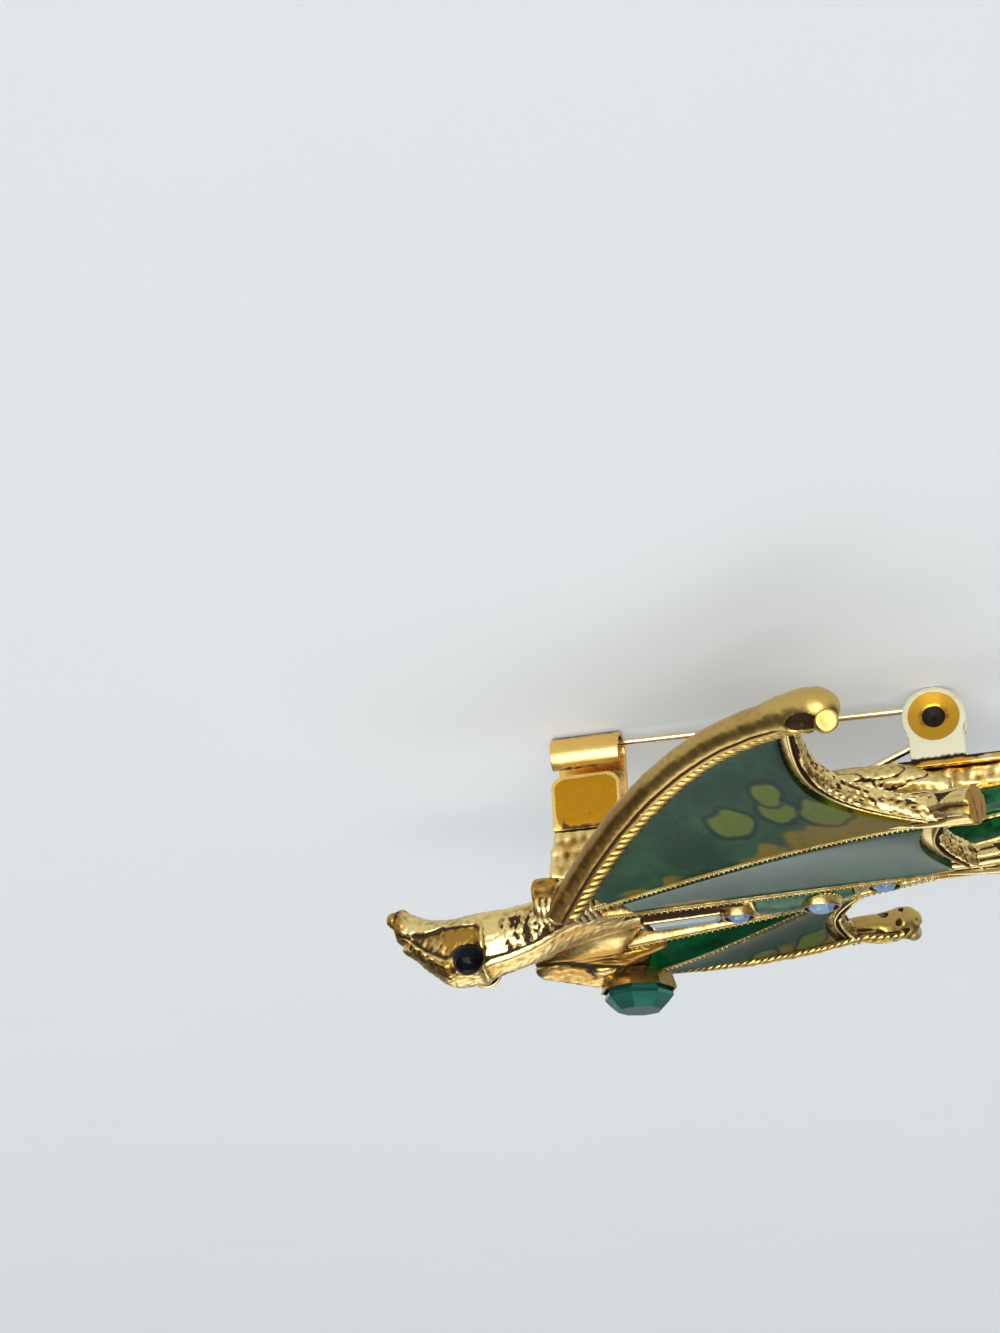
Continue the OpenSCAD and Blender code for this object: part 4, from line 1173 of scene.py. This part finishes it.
def ear_shade_and_tone(field):
    """Painted shade black round the hole and brown at the dish's sides, and an orange tone in it, partly
    painted shade.
    """
    hinge = (PIN_HINGE + CENTRE) * MM
    apart = field.add("VectorMath", {"operation": "SUBTRACT"}, {0: field.place(), 1: hinge})
    flat = field.add("VectorMath", {"operation": "MULTIPLY"}, {0: apart, 1: (1 / MM, 0, 1 / MM)})
    radius = field.add("VectorMath", {"operation": "LENGTH"}, {0: flat}, out=1)
    aside = field.calc("ABSOLUTE", field.add("SeparateXYZ", {}, {0: flat})) / (radius + 0.01)
    # Painted shade: the dark of the hole, and brown at the dish's left and right where the cone mirrors dark
    painted_dish_shade = (1 - radius.step(0.9, 1.8)) * (aside * 0.45 + 0.05)
    return (1 - radius.step(0.84, 0.92)) * 2.0 + painted_dish_shade, (1 - radius.step(1.9, 2.1)) * 1.3


bright_plate = antique_gold("bright_findings", (0.98, 0.92, 0.66), (0.62, 0.33, 0.03), (0.012, 0.005, 0.002),
                            dirt=-0.1, grain=0.35, rough=0.15, round_shade_and_tone=ear_shade_and_tone)


def softened(node, name, material, stains_and_shade, longest=0.35, hole=None):
    """Copy of a CAD node with its edges rounded, as sheet metal's are, and its stains and painted shade by
    place.

    A hole, given as its axis along Y and its radius, is pinched where the coil fills it.
    """
    mesh = frame["nodes"][node].data.copy()
    mesh.name = name
    bm = bmesh.new()
    bm.from_mesh(mesh)
    bmesh.ops.remove_doubles(bm, verts=bm.verts, dist=0.002 * MM)
    bmesh.ops.dissolve_limit(bm, angle_limit=radians(0.5), verts=bm.verts, edges=bm.edges)
    keen = [e for e in bm.edges if len(e.link_faces) == 2 and e.calc_face_angle(0) > radians(35)]
    bmesh.ops.bevel(bm, geom=keen, offset=0.07 * MM, segments=3, profile=0.5, affect="EDGES",
                    clamp_overlap=True)
    bmesh.ops.triangulate(bm, faces=[f for f in bm.faces if len(f.verts) > 4])
    for _ in range(3):
        long_edges = [e for e in bm.edges if e.calc_length() > longest * MM]
        bmesh.ops.subdivide_edges(bm, edges=long_edges, cuts=1, use_grid_fill=False)
        bmesh.ops.triangulate(bm, faces=[f for f in bm.faces if len(f.verts) > 4])
    bm.to_mesh(mesh)
    bm.free()
    mesh.materials.clear()
    points = read_points(mesh)[0] / MM - CENTRE
    if hole:
        spread = points[:, ::2] - hole[0][::2]
        pinch = mix(0.1, 1.0, step(hole[1] + 0.1, hole[1] + 0.5, np.hypot(*spread.T)))[:, None]
        points[:, ::2] = hole[0][::2] + spread * pinch
        mesh.vertices.foreach_set("co", ((points + CENTRE) * MM).ravel())
    soil, tone = stains_and_shade(points)
    placed(name, mesh, material, [node], "brooch", 30,
           {"relief": relief_of(mesh, 3) * 0.5, "soil": soil, "tone": tone})


def hinge_stains(points):
    """Bright ears, brown where they meet the plate, and a worn plate."""
    ear = points[:, 2] < 6
    worn = 0.4 * step(0.4, 1.2, noise(points, 1.2, 51)) * ~ear
    return 0.9 * peak(points[:, 2], 6.25, 0.3) + worn, 0.2 - 0.5 * ear


softened("hinge_bracket", "hinge_plate_and_ears", bright_plate, hinge_stains, 0.2, (PIN_HINGE, HOLE_R))

# The catch: one strip of brass bent to a hook round the pin, with a guard tab in front of its mouth,
# soldered behind the neck. Its tab is worn to a warm orange, and its bright rim is a painted highlight.
# The guard tab: its least and greatest x and z, how round its corners are, and where it starts in y
TAB_X = (11.15, 16.95)
TAB_Z = (3.95, 8.75)
TAB_CORNER = 1.1
TAB_Y = -3.2
catch_gold = antique_gold("catch_gold", (0.88, 0.58, 0.17), (0.50, 0.235, 0.012), (0.045, 0.018, 0.005),
                          dirt=-0.06, grain=0.5, rough=0.18)


def catch_stains_and_shade(points):
    """Orange tab in a bright rim, a painted highlight, a few smudges, and painted shade under the roll and
    at the foot.
    """
    x, y, z = points.T
    tab = (y < TAB_Y) & (z > 3.9)
    in_x, in_z = np.minimum(x - TAB_X[0], TAB_X[1] - x), np.minimum(z - TAB_Z[0], TAB_Z[1] - z)
    corner = TAB_CORNER - np.hypot(*(np.clip(TAB_CORNER - inside, 0, TAB_CORNER) for inside in (in_x, in_z)))
    inner = np.where(np.maximum(in_x, in_z) < TAB_CORNER, corner, np.minimum(in_x, in_z))
    orange = tab * step(0.3, 0.45, inner)
    smudge = orange * step(0.75, 1.5, noise(points * (1.6, 1, 0.7), 1.6, 52))
    # Painted shade: a ragged band under the roll's lip and, in the return, one at the foot's bend
    shadow_under_roll = peak(z, 3.15, 0.28) * (0.6 + 0.5 * noise(points, 0.8, 53))
    # Painted highlight: a pale line round the tab's rim, for the lit edge of the sheet
    painted_rim_highlight = tab * (1 - step(0.12, 0.3, inner))
    return (0.75 * shadow_under_roll + 1.1 * peak(z, 8.35, 0.25) + 0.4 * smudge - 0.5 * painted_rim_highlight,
            1.1 * orange - 0.3 * ~tab - 0.6 * painted_rim_highlight)


softened("catch", "hook_catch", catch_gold, catch_stains_and_shade)

# The pin: one spring wire. Its stem swings on the ears' noses and tapers to a point, and its short leg
# stays pressed on the plate. Drawn wire, pale gold plate.
WIRE_R = 0.32
COIL_R = 1.25
STEM_L = 30.0
STEM_R = 0.30
NECK_L = 2.8
POINT_L = 4.6
POINT_R = 0.08
LEG_L = 6.9
# How far the stem and the leg slope down from the hinge, in degrees, or up if below 0
STEM_SLOPE = 0.9
LEG_SLOPE = -22
wire_gold = antique_gold("wire_gold", (0.92, 0.78, 0.52), (0.70, 0.53, 0.30), (0.12, 0.08, 0.04),
                         dirt=-0.5, grain=0.25, rough=0.16)


def sprung_wire(way, taper, places, slope):
    """Half of the coil and a straight run, on the hinge's side that way gives: 1 for +Y, -1 for -Y.

    Taper is places along the straight run, the last of them its length, and its radius at each.
    """
    a = np.radians(way * np.linspace(-360, -90, 90))
    out = 0.18 + 0.165 * step(-360, -250, way * np.degrees(a))
    coil = np.stack([COIL_R * np.cos(a), way * out, COIL_R * np.sin(a)], 1)
    run = np.linspace(0.3, taper[0][-1], places)
    straight = np.stack([run, 0 * run + way * (WIRE_R + GAP / 2), 0 * run - way * COIL_R], 1)
    turn = np.array(Matrix.Rotation(radians(slope), 3, "Y")).T
    path = PIN_HINGE + np.concatenate([coil, straight]) @ turn
    along = unit(np.gradient(path, axis=0))
    side = unit(np.cross(np.cross(along, (0, 1, 0)), along))
    thin = np.concatenate([0 * a + WIRE_R, np.interp(run, *taper)])
    points, faces = rings(tube(path, side, np.cross(along, side), thin, 20))
    points[:, 1] = PIN_HINGE[1] + way * np.maximum(way * (points[:, 1] - PIN_HINGE[1]), GAP / 2)
    return points, faces


STEM_TAPER = ((0, NECK_L, STEM_L - POINT_L, STEM_L), (WIRE_R, STEM_R, STEM_R, POINT_R))
stem = sprung_wire(1, STEM_TAPER, 120, STEM_SLOPE)
leg = sprung_wire(-1, ((0, LEG_L), (WIRE_R, WIRE_R)), 20, LEG_SLOPE)
solid("pin_stem_wire", [stem], wire_gold, "wire", ["pin_stem"], body="pin")
solid("spring_leg_wire", [leg], wire_gold, "wire", ["spring_leg"])

# The studio: a pale lit table that reaches past the picture, and a grey room with a bright window high on
# the far side, another low behind the camera, and a darker wall at each end, which the metal mirrors.
table_finish, shader, field = finish_of("pale_table", 0.85)
join(shader, "Base Color", field.noise(60.0, 2.0).tint((0.52, 0.54, 0.545), (0.55, 0.565, 0.57)))
shader.inputs["Emission Color"].default_value = (0.92, 0.97, 1.0, 1)
shader.inputs["Emission Strength"].default_value = 0.3
TABLE_HALF = 1.6
corners = [(x * TABLE_HALF, y * TABLE_HALF, 0) for x, y in ((-1, -1), (1, -1), (1, 1), (-1, 1))]
table_mesh = bpy.data.meshes.new("table")
table_mesh.from_pydata(corners, [], [(0, 1, 2, 3)])
table_mesh.materials.append(table_finish)
table = bpy.data.objects.new("table", table_mesh)
bpy.context.scene.collection.objects.link(table)

# Each part of the room: azimuth, elevation, inner and outer angle, and its light against the grey's
WALLS = ((72, 54, 12, 32, 1.5), (-82, 10, 16, 38, 4.6), (0, 10, 20, 55, -0.27), (175, 12, 20, 50, -0.25))
GREY_LIGHT = 0.32
world = bpy.data.worlds.new("surround")
bpy.context.scene.world = world
bpy.context.scene.view_settings.view_transform = "Standard"
world.use_nodes = True
room = Field(world.node_tree)
toward = room.add("TexCoord", out=0)
light = room.add("Value")
light.socket.default_value = GREY_LIGHT
for azimuth, elevation, inner, outer, power in WALLS:
    a, e = radians(azimuth), radians(elevation)
    axis = (cos(a) * cos(e), sin(a) * cos(e), sin(e))
    along = room.add("VectorMath", {"operation": "DOT_PRODUCT"}, {0: toward, 1: axis}, out=1)
    light = light + along.step(cos(radians(outer)), cos(radians(inner))) * power
background = world.node_tree.nodes["Background"]
background.inputs["Color"].default_value = (0.95, 0.98, 1.0, 1)
join(background, "Strength", light)

# One soft box, on the camera's side and above it
box_light = bpy.data.lights.new("window", "AREA")
box_light.shape = "RECTANGLE"
box_light.size, box_light.size_y = 0.3, 0.2
box_light.energy = 1.2
box_light.color = (1.0, 0.985, 0.95)
window = bpy.data.objects.new("window", box_light)
window.location = (-0.12, -0.5, 0.42)
window.rotation_euler = (Vector((0, 0, 0.01)) - window.location).to_track_quat("-Z", "Y").to_euler()
bpy.context.scene.collection.objects.link(window)

# The camera, held upside down beside the brooch as the photograph was taken.
TURN, LIFT, ROLL = radians(-15.5), radians(22), radians(-2)
DISTANCE = 175.0
TARGET = np.array((22, 0, -8.2)) + CENTRE
back = Vector((sin(TURN) * cos(LIFT), -cos(TURN) * cos(LIFT), sin(LIFT)))
right = Vector((cos(TURN), sin(TURN), 0))
upward = -right.cross(-back)
right = -right
right, upward = cos(ROLL) * right + sin(ROLL) * upward, cos(ROLL) * upward - sin(ROLL) * right
place = (Vector(TARGET) + DISTANCE * back) * MM
lens = bpy.data.cameras.new("camera")
lens.sensor_fit = "VERTICAL"
lens.sensor_height = 24
lens.lens = 36
lens.clip_start = 0.005
camera = bpy.data.objects.new("camera", lens)
camera.matrix_world = Matrix(((right.x, upward.x, back.x, place.x), (right.y, upward.y, back.y, place.y),
                              (right.z, upward.z, back.z, place.z), (0, 0, 0, 1)))
bpy.context.scene.collection.objects.link(camera)
bpy.context.scene.camera = camera
